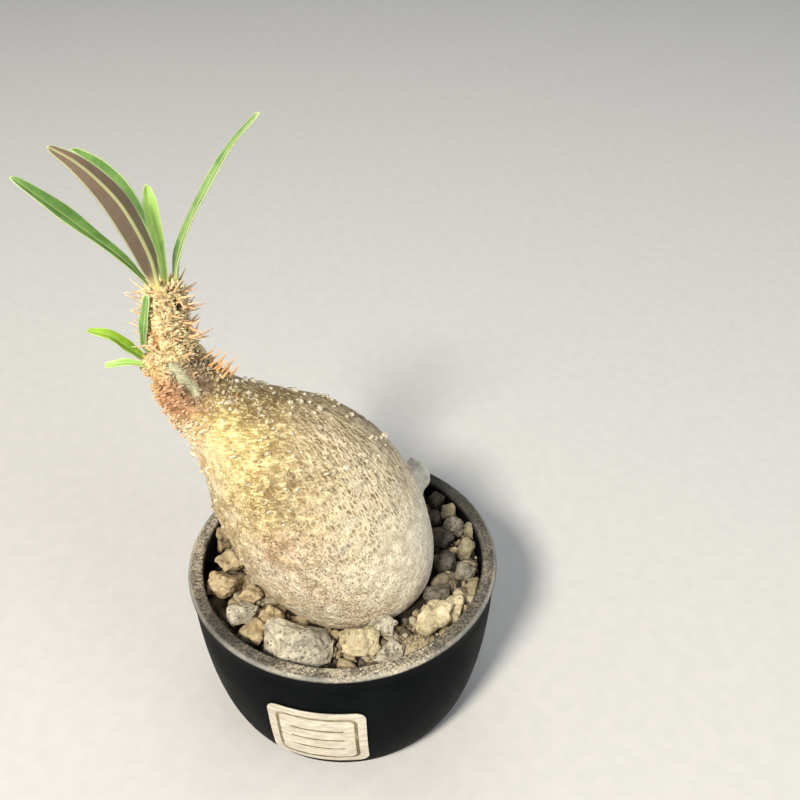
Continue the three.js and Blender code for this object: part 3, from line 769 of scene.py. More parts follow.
def on_stem(points, samples=240, batch=20000):
    """Each point's position in stations, angle in degrees, and millimetres along and around the stem."""
    positions = np.linspace(0, len(STEM) - 1, samples)
    line, along, front, upper = frames(STEM, positions)
    arc_length = np.append(0, np.cumsum(np.linalg.norm(np.diff(line[:, :3], axis=0), axis=1)))
    best = np.empty(len(points), int)
    for start in range(0, len(points), batch):
        some = points[start:start + batch]
        gap = ((some[:, None, :] - line[None, :, :3]) ** 2).sum(2) - (line[None, :, 3] * 0.35) ** 2
        best[start:start + batch] = gap.argmin(1)
    away = points - line[best, :3]
    angle = np.arctan2((away * upper[best]).sum(1), (away * front[best]).sum(1))
    run = arc_length[best] + (away * along[best]).sum(1)
    return positions[best], np.degrees(angle), run, angle * line[best, 3]


def near_marks(points, marks):
    """1 on the marks, falling to 0 past their half width."""
    share = np.zeros(len(points))
    for start, end, half in marks:
        line = np.subtract(end, start)
        reach = np.clip((points - start) @ line / (line @ line), 0, 1)
        gap = np.linalg.norm(points - start - reach[:, None] * line, axis=1)
        share = np.maximum(share, ramp(gap, 1.35 * half, 0.65 * half))
    return share


def bark_zones(points):
    """Where each kind of bark lies, as shares from 0 to 1, and each point's place on the stem."""
    position, angle, run, turn = on_stem(points)
    drift = layered_noise(points, 14, 4, 50)
    ragged = points + 1.1 * warp(points, 3.0, 60)
    zones = {name: near_marks(ragged, marks) for name, marks in BARK_MARKS.items()}

    def side(middle, reach, wander=0):
        return spread(angle + wander * drift, middle, reach)

    def up(low, high, wander=0.0):
        return ramp(position + wander * drift, low, high)

    zones["branch"] = up(10.4, 12.0, 0.5)
    zones["olive"] = up(5.5, 7.8, 0.6) * side(30, 58, 20)
    # Partly dark brown bark, partly painted shade on the upper back edge, away from the light.
    zones["brown"] = side(102, 46, 14) * up(4.4, 6.0, 0.5)
    zones["moss"] = np.clip(side(68, 42, 25) * up(5.6, 7.0, 0.5) * (0.9 + 0.9 * drift), 0, 1)
    zones["woven"] = side(46, 38, 14) * bell(position - 5.5, 1.2)
    zones["streaky"] = side(70, 42, 10) * up(3.9, 5.2) * up(8.2, 6.8)
    # Partly silvery bark, partly a painted highlight on the lower right of the belly.
    zones["silver_and_highlight"] = side(62, 58, 12) * (1 - up(3.8, 5.8, 0.9))
    zones["blush"] = (1 - up(3.4, 5.0, 0.6)) * side(0, 75)
    zones["speckle"] = np.clip(side(-22, 50, 15) + 0.35, 0, 1) * up(9.0, 7.0)
    rust = side(-14, 46) * bell(position - 10.8, 1.15) * (1.4 + 0.5 * drift)
    zones["rust"] = np.clip(rust + 0.2 * side(-6, 20) * bell(position - 5.7, 0.6), 0, 1)
    zones["gold"] = side(-80, 58) * up(9.6, 10.6) * up(13.0, 12.2)
    # Painted shade on the front-right side of the neck and branch, away from the light.
    zones["neck_shade"] = np.clip(1.3 * side(46, 46, 20) * up(9.8, 10.8) * up(13.0, 12.2), 0, 1)
    return zones, run, turn


def store_zones(piece, zones, run, turn):
    store(piece, {**zones, "run": run * MM, "turn": turn * MM})


def make_stem():
    trunk = stem_blank("stem_bark", STEM, steps=150, sides=96)
    shoot = stem_blank("shoot", SHOOT, steps=40, sides=48)
    with bpy.context.temp_override(active_object=trunk, selected_editable_objects=[trunk, shoot]):
        bpy.ops.object.join()
    remesh(trunk, STEM_VOXEL, rounds=4)
    zones, run, turn = bark_zones(points_of(trunk))
    carve_bark(trunk, zones, run, turn)
    store_zones(trunk, zones, run, turn)
    finish_piece(trunk, "stem_bark", stem_bark(), "plant_stem")


def ridges(points, size, seed):
    """1 along the borders between cells."""
    near, second, _ = cell_pattern(points, size, seed)
    return bell(second - near, 0.3)


def carve_bark(piece, zones, run, turn):
    """Raises swellings, the net of fine ridges and the granules, and sinks the marks of the bark."""
    points = points_of(piece)
    smooth = 1 - np.clip(zones["smooth"] + zones["strip"] + 0.5 * zones["silver_and_highlight"], 0, 1)
    drawn = points - 0.5 * (points @ BODY_AXIS)[:, None] * BODY_AXIS
    ridge = ridges(drawn + 0.9 * warp(points, 4.0, 8), 1.8, 4) * (1 - 0.7 * zones["olive"])
    strips = np.stack([turn, 0.3 * run, 0 * run], 1) + 0.5 * warp(points, 4.0, 14)
    streak = ridges(strips, 1.7, 19) * np.clip(zones["streaky"] * 1.5, 0, 1)
    grain, _, draw = cell_pattern(points, 1.05, 12)
    granule = np.clip(1 - grain / 0.55, 0, 1) * (0.3 + 0.7 * draw)
    push = 0.34 * smooth_noise(points, 17, 2) + 0.20 * smooth_noise(points, 8, 3)
    push += 0.13 * ridge * (0.7 + 0.5 * smooth_noise(points, 12, 18)) * smooth
    push += 0.10 * layered_noise(points, 1.6, 2, 22) * smooth
    push += 0.15 * granule * (0.35 + 0.65 * zones["speckle"]) * smooth + 0.12 * streak
    push += 0.20 * zones["branch"] * layered_noise(points, 1.8, 2, 23) * smooth
    push += 0.35 * zones["strip"] - zones["hollow"] - 0.15 * zones["smooth"]
    push *= ramp(points[:, 2], STEM_TIP[2] + 1.0, STEM_TIP[2] - 0.6)
    move_points(piece, points + point_values(piece, "normal") * push[:, None])
    store(piece, {"ridge": np.clip(ridge + 0.4 * granule, 0, 1)})


@functools.cache
def stem_bark():
    skin = Skin("bark_skin", 0.78, 0.16)
    zone = functools.cache(skin.mark)
    mottle = skin.noise(2.6, 6.0, 0.66)
    broad = skin.noise(10.0)
    fine = skin.noise(0.7, 4.0, 0.7)
    mottled = mottle.span(0.36, 0.64)
    body = zone("branch").line(-1.0, 1.0)
    yellowed = zone("olive") | zone("moss")
    rugged = zone("speckle") | zone("moss") | zone("brown")

    def lay(tones):
        for name, share, dark, pale in tones:
            skin.coat(zone(name) * share, skin.blend(mottled, dark, pale))

    skin.base = skin.blend(mottled, (0.46, 0.32, 0.18), (0.75, 0.575, 0.345))
    lay(BODY_TONES)
    skin.coat(broad.span(0.56, 0.72, 0, 0.3), (0.26, 0.19, 0.10))

    # Grain, beads, dots, pores and grit
    rim = skin.cells(0.85, EDGES, skin.warped(0.8, 0.25))
    grain = rim.span(0.2, 0.03) * rugged * mottle.span(0.66, 0.44)
    skin.coat(grain * 0.6, (0.19, 0.115, 0.05))
    beads = skin.cells(0.95).span(0.5, 0.2) * yellowed * mottle.span(0.4, 0.6)
    skin.coat(beads * 0.75, (0.92, 0.79, 0.42))
    dots = skin.cells(1.05).span(0.3, 0.16) * zone("speckle") * skin.noise(6.0, 3.0).span(0.36, 0.52)
    skin.coat(dots * 0.9, (0.10, 0.055, 0.03))
    pores = fine.span(0.47, 0.37) * rugged * broad.span(0.4, 0.56, 0.3, 1.0)
    skin.coat(pores * 0.85, (0.19, 0.11, 0.05))
    grit = fine.span(0.54, 0.68) * (zone("brown") | zone("olive")).line(-0.3, 0.5)
    skin.coat(grit, skin.blend(yellowed, (0.84, 0.74, 0.53), (0.82, 0.68, 0.34)))

    # The pale net, drawn out along the body, and the streaks
    drawn = skin.stretched((1, 1, 0.42), 0, skin.stretched((1, 1, 1), 30.5))
    lines = skin.cells(0.98, EDGES, skin.warped(3.0, 0.7, drawn)).span(0.24, 0.04)
    threads = skin.cells(1.15, EDGES, skin.warped(1.5, 0.5)).span(0.12, 0.03)
    net = (lines | threads * 0.15) * skin.noise(7.0, 3.0).span(0.40, 0.6, 0.1, 1.0)
    for name, loss in (("olive", 0.75), ("moss", 0.7), ("brown", 0.75)):
        net = net * zone(name).line(-loss, 1.0)
    net = (net | lines * zone("woven") * 0.95) * body
    thread = skin.blend(yellowed | zone("woven") * 0.4, (0.93, 0.86, 0.68), (0.92, 0.79, 0.42))
    skin.coat(net * 0.64, thread)
    lengthwise = skin.node("CombineXYZ", "Vector", {"X": zone("turn"), "Y": zone("run").line(0.26, 0.0)})
    streaks = skin.cells(1.15, EDGES, skin.warped(2.5, 0.5, lengthwise)).span(0.2, 0.05)
    streaks = streaks * zone("streaky") * 0.95
    skin.coat(streaks * 0.75, (0.84, 0.71, 0.48))

    # Level wrinkles and welts
    folds = skin.noise(0.8, 3.0, 0.62, skin.warped(3.0, 0.8, skin.stretched((0.3, 1, 1), -6)))
    wrinkles = folds.span(0.49, 0.40) * yellowed
    skin.coat(wrinkles * 0.5, (0.30, 0.185, 0.075))
    skin.coat(folds.span(0.55, 0.64) * yellowed * 0.62, (0.93, 0.82, 0.46))
    lay(NECK_TONES)

    # Scales and warts, paler towards their crests: partly their own colour, partly a painted highlight on the
    # crests and painted shade on their lower slopes
    draw = zone("draw")
    crest = skin.blend(zone("branch"), (0.94, 0.87, 0.66), (0.95, 0.81, 0.46))
    for name, share, tint in CREST_TINTS:
        crest = skin.blend(zone(name) * share, crest, tint)
    crest = skin.blend(draw.span(0.35, 0.6) * body * 0.3, crest, (0.70, 0.54, 0.36))
    crest = skin.blend(draw.span(0.55, 0.9) * zone("branch") * 0.6, crest, (0.62, 0.35, 0.12))
    crest = skin.blend(draw, crest, skin.blend(0.3, crest, skin.base))
    scale = skin.blend(fine.span(0.4, 0.65, 0.0, 0.35), crest, (0.93, 0.84, 0.60))
    # Painted shade on the scales' lower slopes and a painted highlight on their crests, over their own paler
    # tips.
    skin.coat(zone("level").span(0.15, 0.95), scale)
    # The sunk hollows are painted near black: painted shade inside them.
    skin.coat(zone("hollow") * 0.92, (0.05, 0.03, 0.02))
    skin.coat(zone("strip") * 0.9, (0.55, 0.53, 0.34))

    relief = fine.line(0.8, 0.0)
    raised = ((net, 0.7), (streaks, 0.9), (wrinkles, -0.8), (grain, -0.9), (beads, 0.7), (zone("ridge"), 0.3))
    for mark, height in raised:
        relief = mark.line(height, relief)
    return skin.finish(mottle.span(0.3, 0.7, 0.85, 0.66), relief, 0.85, 0.30)


# Scales and warts of the bark

# Each row: stem, start, end, count, half width, half length and height, sharpness, seed and crowding
DOME_ROWS = [
    (STEM, 11.3, 17.75, 300, (1.5, 0.66, 0.8), 1.2, 41, None),
    (STEM, 10.9, 17.9, 420, (0.46, 0.46, 1.3), 1.0, 49, None),
    (SHOOT, 1.6, 4.0, 90, (1.0, 0.65, 0.85), 1.15, 42, None),
    (STEM, 8.9, 11.5, 520, (0.72, 0.44, 0.95), 2.0, 43, "left"),
    (STEM, 8.4, 11.6, 120, (0.85, 0.65, 0.55), 2.0, 44, "right"),
    (STEM, 4.6, 9.2, 760, (0.66, 0.40, 0.72), 2.0, 45, "body"),
    (STEM, 5.4, 9.8, 340, (1.15, 0.62, 1.0), 2.0, 46, "body"),
]
DOME_RINGS = 5
DOME_SIDES = 10
DOME_DEPTH = 0.5
DOME_LEAN = 0.7


def other_stem(stations):
    return SHOOT if stations is STEM else STEM


def spiral(stations, start, end, count, random, wander):
    """Positions and angles that share out a stretch of skin evenly."""
    line = np.linspace(start, end, 200)
    at = spline(stations, line)
    steps = np.linalg.norm(np.diff(at[:, :3], axis=0), axis=1) * at[1:, 3]
    area = np.append(0, np.cumsum(steps))
    position = np.interp((np.arange(count) + 0.5) / count * area[-1], area, line)
    return position, np.arange(count) * GOLDEN_TURN + wander * random.standard_normal(count)


def crowded(kind, root, position, angle, random):
    """Which bumps stand: where bark of that kind bears many, most of them do."""
    draw = random.random(len(root))
    clump = 0.5 + 0.9 * smooth_noise(root, 5.0, 90)
    if kind == "left":
        return draw < spread(angle, -52, 88) * ramp(position, 8.9, 9.7) * (0.8 + 0.5 * clump)
    if kind == "right":
        return draw < spread(angle, 70, 50) * (0.35 + 0.9 * clump)
    if kind == "body":
        upper = spread(angle, 80, 55) * ramp(position, 5.0, 6.4)
        neck = ramp(position, 6.6, 8.6)
        return draw < np.clip((0.15 + 0.95 * upper + 0.7 * neck) * clump, 0, 0.95)
    return draw < 1


def along_skin(line, normal):
    """Unit vectors in the skin that run as the line does."""
    return unit(np.cross(normal, np.cross(line, normal)))


def dome_points(root, normal, along, wide, tall, high, sharp, random):
    """Low domes or cones whose rims lie under the skin and whose crests lean up the stem."""
    across = np.cross(along, normal)
    share = np.linspace(1.0, 0.16, DOME_RINGS)[:, None]
    turn = circle(DOME_SIDES)
    wide, tall, high, sharp = [value[:, None, None] for value in (wide, tall, high, sharp)]
    level = (1 - share ** sharp) ** 0.75
    ragged = 1 + 0.15 * random.standard_normal((len(root), DOME_RINGS, DOME_SIDES))
    u = share * np.cos(turn) * ragged * wide
    v = (share * np.sin(turn) + DOME_LEAN * level) * ragged * tall
    w = level * high * ragged - 0.22
    rim = root[:, None, None] + across[:, None, None] * u[..., None]
    rim = rim + along[:, None, None] * v[..., None] + normal[:, None, None] * w[..., None]
    top = root + along * DOME_LEAN * tall[:, 0] + normal * (high[:, 0] - 0.2)
    points, faces = many_tubes(rim, root - normal * DOME_DEPTH, top)
    ends = np.tile([0.0, 1.0], (len(root), 1))
    levels = np.concatenate([np.repeat(level[:, :, 0], DOME_SIDES, axis=1), ends], 1)
    return points, faces, levels.ravel()


def make_domes():
    sets = []
    for stations, start, end, count, size, sharp, seed, crowd in DOME_ROWS:
        random = np.random.default_rng(seed)
        position, angle = spiral(stations, start, end, count, random, 9)
        root, normal = skin_points(stations, position, angle)
        keep = crowded(crowd, root, position, angle, random)
        keep &= outside(root, other_stem(stations), 0.2)
        keep &= near_marks(root, BARE_MARKS) < 0.5
        uneven = 0.72 + 0.56 * random.random((len(root), 3))
        line = directions(stations, position)
        if crowd == "body":
            uneven *= 0.75 + 0.8 * random.random((len(root), 1)) ** 2
            line = np.cross(normal, (1, 0, 0.15))
        along = along_skin(line + 0.3 * random.standard_normal(root.shape), normal)
        sizes = np.column_stack([uneven * size, np.full(len(root), sharp)])
        sets.append([value[keep] for value in (root, normal, along, sizes)])
    root, normal, along, sizes = joined([*sets, crown_scales()])
    random = np.random.default_rng(47)
    points, faces, level = dome_points(root, normal, along, *sizes.T, random)
    piece = mesh_piece("bark_scales", points, faces, {"level": level})
    store_zones(piece, *bark_zones(points))
    store(piece, {"draw": np.repeat(random.random(len(root)), len(points) // len(root))})
    finish_piece(piece, "stem_bark", stem_bark(), "plant_stem")


def crown_scales(count=34, radius=3.9):
    """Scales over the blunt end of the branch, between the leaf stalks."""
    random = np.random.default_rng(48)
    index = np.arange(count)
    reach = radius * np.sqrt((index + 0.5) / count)[:, None]
    way = outward(np.radians(index * GOLDEN_TURN))
    root = STEM_TIP + way * reach - [0, 0, 1] * (0.9 * ramp(reach, 3.0, radius))
    normal = unit(way * 0.25 * reach + [0, 0, 1.0])
    size = (0.75 + 0.5 * random.random((count, 4))) * (0.95, 0.75, 1.5, 0) + (0, 0, 0, 1.15)
    return root, normal, -along_skin(way, normal), size


def outside(points, stations, margin):
    """Which points lie outside the stem of the given stations."""
    line = spline(stations, np.linspace(0, len(stations) - 1, 60))
    gap = np.linalg.norm(points[:, None] - line[None, :, :3], axis=2) - line[None, :, 3]
    return gap.min(1) > margin


# Spines

# Each row: stem, start, end, count of pairs, length, parting in degrees, warmth of the tint and seed
SPINE_ROWS = [
    (STEM, 9.1, 10.7, 90, 1.9, 24, 0.8, 3),
    (STEM, 10.7, 12.6, 80, 2.4, 24, 0.7, 5),
    (STEM, 12.6, 17.9, 40, 5.1, 20, 0.3, 7),
    (STEM, 12.4, 17.9, 56, 2.2, 30, 0.25, 11),
    (SHOOT, 1.6, 4.0, 44, 1.9, 24, 0.5, 9),
]
SPINE_RINGS = 6
SPINE_SIDES = 6
SPINE_DEPTH = 0.6
SPINE_RADIUS = 0.16
SPINE_STOUTNESS = 0.06
SPINE_ROOM = 0.35


def cone_points(roots, aims, bends, lengths, radii):
    """Curved tapering spines: points, triangles and how far along each point lies."""
    share = np.linspace(0, 1, SPINE_RINGS)
    aims = unit(aims)
    helper = np.where(np.abs(aims[:, 2:3]) < 0.9, [[0.0, 0.0, 1.0]], [[1.0, 0.0, 0.0]])
    side = unit(np.cross(aims, helper))[:, None, None]
    other = np.cross(aims, side[:, 0, 0])[:, None, None]
    turn = circle(SPINE_SIDES)[:, None]
    reach = share[:, None] * (lengths[:, None, None] + SPINE_DEPTH) - SPINE_DEPTH
    centre = roots[:, None] + aims[:, None] * reach + bends[:, None] * share[:, None] ** 2
    width = radii[:, None] * (1.12 - share) ** 0.8
    around = side * np.cos(turn) + other * np.sin(turn)
    rim = centre[:, :, None] + around * width[:, :, None, None]
    points, faces = many_tubes(rim, centre[:, 0], centre[:, -1])
    along = np.tile(np.append(np.repeat(share, SPINE_SIDES), [0, 1]), len(roots))
    return points, faces, along


def spine_row(stations, start, end, count, length, part, warmth, seed):
    """One row of paired spines, shorter at the front of the stem, where a scale hides their feet."""
    random = np.random.default_rng(seed)
    position, angle = spiral(stations, start, end, count, random, 8)
    root, normal = skin_points(stations, position, angle)
    keep = outside(root, other_stem(stations), 0.4) & (near_marks(root, BARK_MARKS["smooth"]) < 0.3)
    if start < 11:
        keep &= random.random(len(root)) < spread(angle, -80, 80)
    position, angle, root, normal = [value[keep] for value in (position, angle, root, normal)]
    along = directions(stations, position)
    around = np.cross(along, normal)
    short = 1 - 0.5 * spread(angle, 0, 42)
    warm = np.clip(warmth + 0.3 * spread(angle, 90, 70) - 0.3 * spread(angle, -90, 60), 0, 1)

    def draws():
        return random.random((len(root), 1))

    sets = []
    for side in (-1, 1):
        lean = np.radians(side * part * (0.6 + 0.8 * draws()))
        aim = normal * np.cos(lean) + around * np.sin(lean)
        aim = unit(aim + along * (0.45 * draws() - 0.05))
        long = length * (0.6 + 0.6 * draws()) * short[:, None]
        bend = along * 0.12 * long * draws()
        sets.append((root, aim, bend, long[:, 0], warm))
    return sets


def long_spines(count=13):
    """The longer spines along the upper side of the neck."""
    random = np.random.default_rng(78)
    index = np.arange(count)
    share = index / 8
    root, normal = skin_points(STEM, 9.8 + 1.5 * share, 98 + 18 * np.sin(2 * index))
    aim = unit(normal + [0, 0, 0.45] + 0.08 * random.standard_normal((count, 3)))
    bend = np.tile([0.25, 0.0, 0.35], (count, 1))
    return root, aim, bend, 5.2 * (1 - 0.3 * share), np.ones(count)


def crown_spines(count=16):
    """Spines that stand up around the leaf stalks."""
    random = np.random.default_rng(79)
    way = outward(np.radians(np.arange(count) * GOLDEN_TURN + 40))
    root = STEM_TIP + way * (2.2 + 1.7 * random.random(count))[:, None] - [0, 0, 0.6]
    aim = unit(0.75 * way + [0, 0, 1.0] + 0.2 * random.standard_normal((count, 3)))
    length = 3.0 + 1.8 * random.random(count)
    return root, aim, 0.3 * way, length, 0.2 + 0.4 * random.random(count)


def clear_of_leaves(root, aim, length):
    """Which spines miss every leaf blade."""
    keep = np.ones(len(root), bool)
    share = np.linspace(0.02, 1, 30)
    for leaf in LEAVES:
        rib = spline(leaf["path"], share * (len(leaf["path"]) - 1))
        half = blade_width(leaf, share) / 2
        for part in (0.35, 0.7, 1.0):
            probe = root + aim * (part * length)[:, None]
            gap = np.linalg.norm(probe[:, None] - rib[None], axis=2)
            keep &= (gap > half[None] + SPINE_ROOM).all(1)
    return keep


def make_spines():
    pairs = [pair for row in SPINE_ROWS for pair in spine_row(*row)]
    spines = joined([*pairs, long_spines(), crown_spines()])
    keep = clear_of_leaves(spines[0], spines[1], spines[3])
    root, aim, bend, length, warm = [value[keep] for value in spines]
    points, faces, along = cone_points(root, aim, bend, length, SPINE_RADIUS + SPINE_STOUTNESS * length)
    marks = {"along": along, "warm": np.repeat(warm, len(points) // len(root))}
    piece = mesh_piece("spines", points, faces, marks)
    finish_piece(piece, "stem_bark", spine_horn(), "plant_stem")


def spine_horn():
    skin = Skin("spine_horn", 0.5, 0.4)
    along = skin.mark("along")
    grain = skin.noise(0.9, 3.0).span(0.3, 0.7)
    orange = skin.blend(grain, (0.58, 0.28, 0.10), (0.82, 0.50, 0.22))
    pale = skin.blend(grain, (0.62, 0.42, 0.24), (0.82, 0.66, 0.46))
    skin.base = skin.blend(skin.mark("warm"), pale, orange)
    skin.coat(along.span(0.3, 0.05), (0.74, 0.55, 0.27))
    skin.coat(along.span(0.55, 1.0, 0, 0.45), (0.86, 0.66, 0.46))
    return skin.finish()


# Leaves: midrib points, blade width, the way the upper face looks, fold in degrees and taper

LEAF_STEPS = 120
LEAF_COLUMNS = 29
LEAF_STALK = 0.07
LEAF_FULLNESS = 0.85
LEAF_ROOT_WIDTH = 1.4
LEAVES = [
    dict(name="leaf_far_left", width=5.0, face=(0.84, -0.17, 0.52), fold=20, taper=2.05, kind="green",
         path=[(-43.6, -0.5, 150.4), (-46.5, -0.3, 154.4), (-50.4, -1.0, 160.5), (-57.1, -2.5, 168.5),
               (-63.7, -4.0, 176.1), (-70.9, -5.0, 183.5)]),
    dict(name="leaf_broad", width=7.0, face=(-0.86, 0.52, 0.03), fold=20, taper=0.78, kind="bronze",
         path=[(-42.3, -2.4, 150.9), (-42.5, -3.3, 157.3), (-42.6, -5.0, 163.4), (-43.6, -8.0, 171.7),
               (-45.5, -10.8, 179.8), (-48.5, -13.0, 186.2), (-52.1, -14.4, 191.1), (-56.9, -15.0, 194.8)]),
    dict(name="leaf_behind", width=6.3, face=(-0.26, -0.95, 0.19), fold=20, taper=2.2, kind="green",
         path=[(-42.3, 2.3, 150.9), (-42.5, 3.4, 154.8), (-44.5, 6.0, 163.3), (-48.8, 9.0, 171.6),
               (-54.7, 12.0, 177.4), (-62.9, 15.0, 182.2)]),
    dict(name="leaf_young", width=3.6, face=(0.5, -0.85, 0.17), fold=36, taper=2.2, kind="young",
         path=[(-41.1, -0.1, 151.2), (-41.0, 0.0, 157.5), (-41.4, 0.5, 164.0), (-42.1, 1.0, 172.3),
               (-42.1, 1.0, 179.1)]),
    dict(name="leaf_right", width=3.6, face=(-0.77, -0.49, 0.41), fold=20, taper=0.78, kind="light",
         path=[(-38.8, 0.8, 150.8), (-38.3, 1.4, 155.4), (-37.3, 2.6, 159.8), (-34.0, 3.4, 167.4),
               (-28.4, 4.0, 177.0), (-21.9, 5.0, 186.7), (-14.5, 5.0, 194.8)]),
    dict(name="shoot_leaf_arched", width=3.8, face=(0.36, -0.31, 0.88), fold=20, taper=1.0, kind="bright",
         path=[(-49.2, -1.1, 130.8), (-51.0, -2.2, 133.4), (-53.3, -3.5, 136.8), (-56.3, -5.0, 140.8),
               (-61.2, -6.0, 142.9)]),
    dict(name="shoot_leaf_low", width=2.2, face=(0.19, -0.44, 0.88), fold=30, taper=2.1, kind="young",
         path=[(-48.5, -3.4, 129.9), (-50.2, -4.6, 131.8), (-53.4, -5.7, 132.9), (-58.4, -6.5, 132.4)]),
    dict(name="shoot_leaf_upright", width=3.0, face=(-0.59, -0.8, 0.1), fold=22, taper=1.36, kind="green",
         path=[(-47.7, 0.2, 131.2), (-48.5, -1.4, 134.8), (-47.5, -3.6, 141.2), (-46.0, -4.6, 146.9),
               (-44.5, -5.0, 152.7)]),
]

# Each kind's upper side from dark to light, its underside, and half the pale midrib's width
LEAF_TINTS = {
    "green": ((0.10, 0.22, 0.045), (0.20, 0.38, 0.085), (0.34, 0.43, 0.19), 0.2),
    "bronze": ((0.05, 0.12, 0.03), (0.09, 0.19, 0.05), (0.165, 0.115, 0.072), 0.6),
    "young": ((0.28, 0.50, 0.09), (0.44, 0.66, 0.17), (0.42, 0.56, 0.22), 0.15),
    "light": ((0.12, 0.24, 0.07), (0.25, 0.40, 0.14), (0.30, 0.42, 0.15), 0.3),
    "bright": ((0.16, 0.33, 0.012), (0.29, 0.50, 0.025), (0.36, 0.50, 0.12), 0.1),
}
VEIN_COUNT = 46
VEIN_SLANT = 3.2


def blade_width(leaf, share):
    blade = np.clip((np.asarray(share, float) - LEAF_STALK) / (1 - LEAF_STALK), 0, 1)
    swell = np.maximum(np.sin(math.pi * blade ** leaf["taper"]), 0) ** LEAF_FULLNESS
    return LEAF_ROOT_WIDTH + (leaf["width"] - LEAF_ROOT_WIDTH) * swell


def make_leaf(leaf):
    """A thin blade, channelled along its pale midrib, with soft side veins and a rounded margin."""
    share = np.linspace(0, 1, LEAF_STEPS)[:, None]
    position = share[:, 0] * (len(leaf["path"]) - 1)
    rib = spline(leaf["path"], position)[:, None]
    along = directions(leaf["path"], position)
    face = np.array(leaf["face"])
    face = unit(face - along * (along @ face)[:, None])
    wide = np.cross(along, face)[:, None]
    half = blade_width(leaf, share) / 2 * (0.3 + 0.7 * np.sqrt(ramp(share, 1.0, 0.975)))
    reach = np.sin(np.linspace(-math.pi / 2, math.pi / 2, LEAF_COLUMNS))
    edge = np.abs(reach)
    away = reach * half
    thin = 1 - 0.6 * share
    slant = (share * VEIN_COUNT - edge * VEIN_SLANT) * 2 * math.pi
    middle = math.tan(math.radians(leaf["fold"])) * half * (np.sqrt(edge**2 + 0.02) - 0.14)
    middle = middle + 0.14 * np.sin(share * 19 + len(leaf["name"]) * 7.3) * edge**2 * np.sign(reach)
    middle = middle + 0.03 * np.sin(slant) * edge * (1 - edge**6)
    thick = 0.30 + 0.16 * ramp(share, 0.14, 0.02) - 0.14 * edge**4
    keel = 0.42 * bell(away, LEAF_TINTS[leaf["kind"]][3] * thin + 0.1) * thin
    groove = 0.14 * bell(away, 0.3)
    lifts = (middle + thick - groove, middle - thick - keel)
    sides = [rib + wide * away[..., None] + face[:, None] * lift[..., None] for lift in lifts]
    ring = there_and_back(*sides)
    ends = [ring[0].mean(0), ring[-1].mean(0) + along[-1] * 0.2]
    both = np.append(reach, reach[::-1])
    under = np.repeat([0.0, 1.0], LEAF_COLUMNS)
    marks = {
        "across": np.append(np.tile(both, LEAF_STEPS), [0, 0]),
        "along": np.append(np.repeat(share, len(both)), [0, 1]),
        "half": np.append(np.repeat(half, len(both)), half[[0, -1]]),
        "under": np.append(np.tile(under, LEAF_STEPS), [0, 0]),
    }
    faces = tube_faces(LEAF_STEPS, len(both))[:, ::-1]
    piece = mesh_piece(leaf["name"] + "_blade", np.concatenate([ring.reshape(-1, 3), ends]), faces, marks)
    slot = "leaf_bronze" if leaf["kind"] == "bronze" else "leaf_green"
    finish_piece(piece, slot, leaf_skin(leaf["kind"]), leaf["name"])


@functools.cache
def leaf_skin(kind):
    dark, light, lower, rib_width = LEAF_TINTS[kind]
    lower = np.array(lower)
    depth = {"Subsurface Weight": 0.12, "Subsurface Scale": 0.0008, "Subsurface Radius": (0.5, 1.0, 0.25)}
    skin = Skin("leaf_skin_" + kind, 0.42, 0.5, depth)
    across = skin.math("ABSOLUTE", skin.mark("across"))
    along = skin.mark("along")
    half = skin.mark("half")
    away = skin.math("MULTIPLY", across, half)
    margin = skin.math("SUBTRACT", half, away).span(0.32, 0.12)
    rib_half = along.line(-0.65 * rib_width, rib_width + 0.06)
    rib = skin.math("DIVIDE", away, rib_half).span(1.2, 0.75)
    blotch = skin.noise(2.2, 4.0, 0.6)
    slant = across.line(-VEIN_SLANT, along.line(VEIN_COUNT, 0.0))
    veins = skin.math("SINE", slant.line(2 * math.pi, 0.0)).span(0.4, 1.0, 0, 0.35)
    top = skin.blend(skin.noise(7.0, 3.0, 0.6).span(0.35, 0.65), dark, light)
    top = skin.blend(blotch.span(0.4, 0.7, 0, 0.4), top, dark)
    top = skin.blend(veins, top, light)
    top = skin.blend(rib * 0.6, top, (0.52, 0.62, 0.24))
    below = skin.blend(blotch.span(0.3, 0.7, 0, 0.45), lower, 1.35 * lower)
    below = skin.blend(veins * 0.5, below, 0.8 * lower)
    below = skin.blend(rib * along.span(1.0, 0.45, 0.4, 0.9), below, (0.56, 0.59, 0.26))
    skin.base = skin.blend(skin.mark("under"), top, below)
    skin.coat(margin * 0.65, (0.60, 0.66, 0.36))
    skin.coat(along.span(0.2, 0.04) * 0.9, (0.76, 0.64, 0.24))
    return skin.finish(blotch.span(0.3, 0.7, 0.38, 0.52), skin.math("ADD", veins, blotch), 0.18, 0.08)


# Stones: dark and pale tint, and how much of the surface bears black specks

STONE_TINTS = {
    "stone_grey": ((0.29, 0.265, 0.205), (0.66, 0.60, 0.45), 0.9),
    "stone_tan": ((0.36, 0.27, 0.155), (0.63, 0.50, 0.30), 0.15),
    "stone_cream": ((0.45, 0.37, 0.225), (0.78, 0.67, 0.43), 0.25),
    "stone_brown": ((0.085, 0.072, 0.056), (0.24, 0.21, 0.165), 0.1),
    # The rear stone is painted paler: painted light that lifts it out of the stem's shadow.
    "stone_rear": ((0.68, 0.65, 0.54), (0.93, 0.89, 0.76), 0.2),
}
# The stones at the right are darkened by this share: painted shade, where the stem shades them.
PAINTED_SHADE_TINT = 0.48
SMALL_STONE = 9
SMALL_STONE_VOXEL = 0.30
STONE_VOXEL = 0.37
BREAK_DEPTH = 0.22

# Rounds of smoothing, share of squareness, broken faces and height of the grain
FRESH_STONE = (2, 1.8, 10, 0.26)
WORN_STONE = (5, 1.0, 5, 0.10)


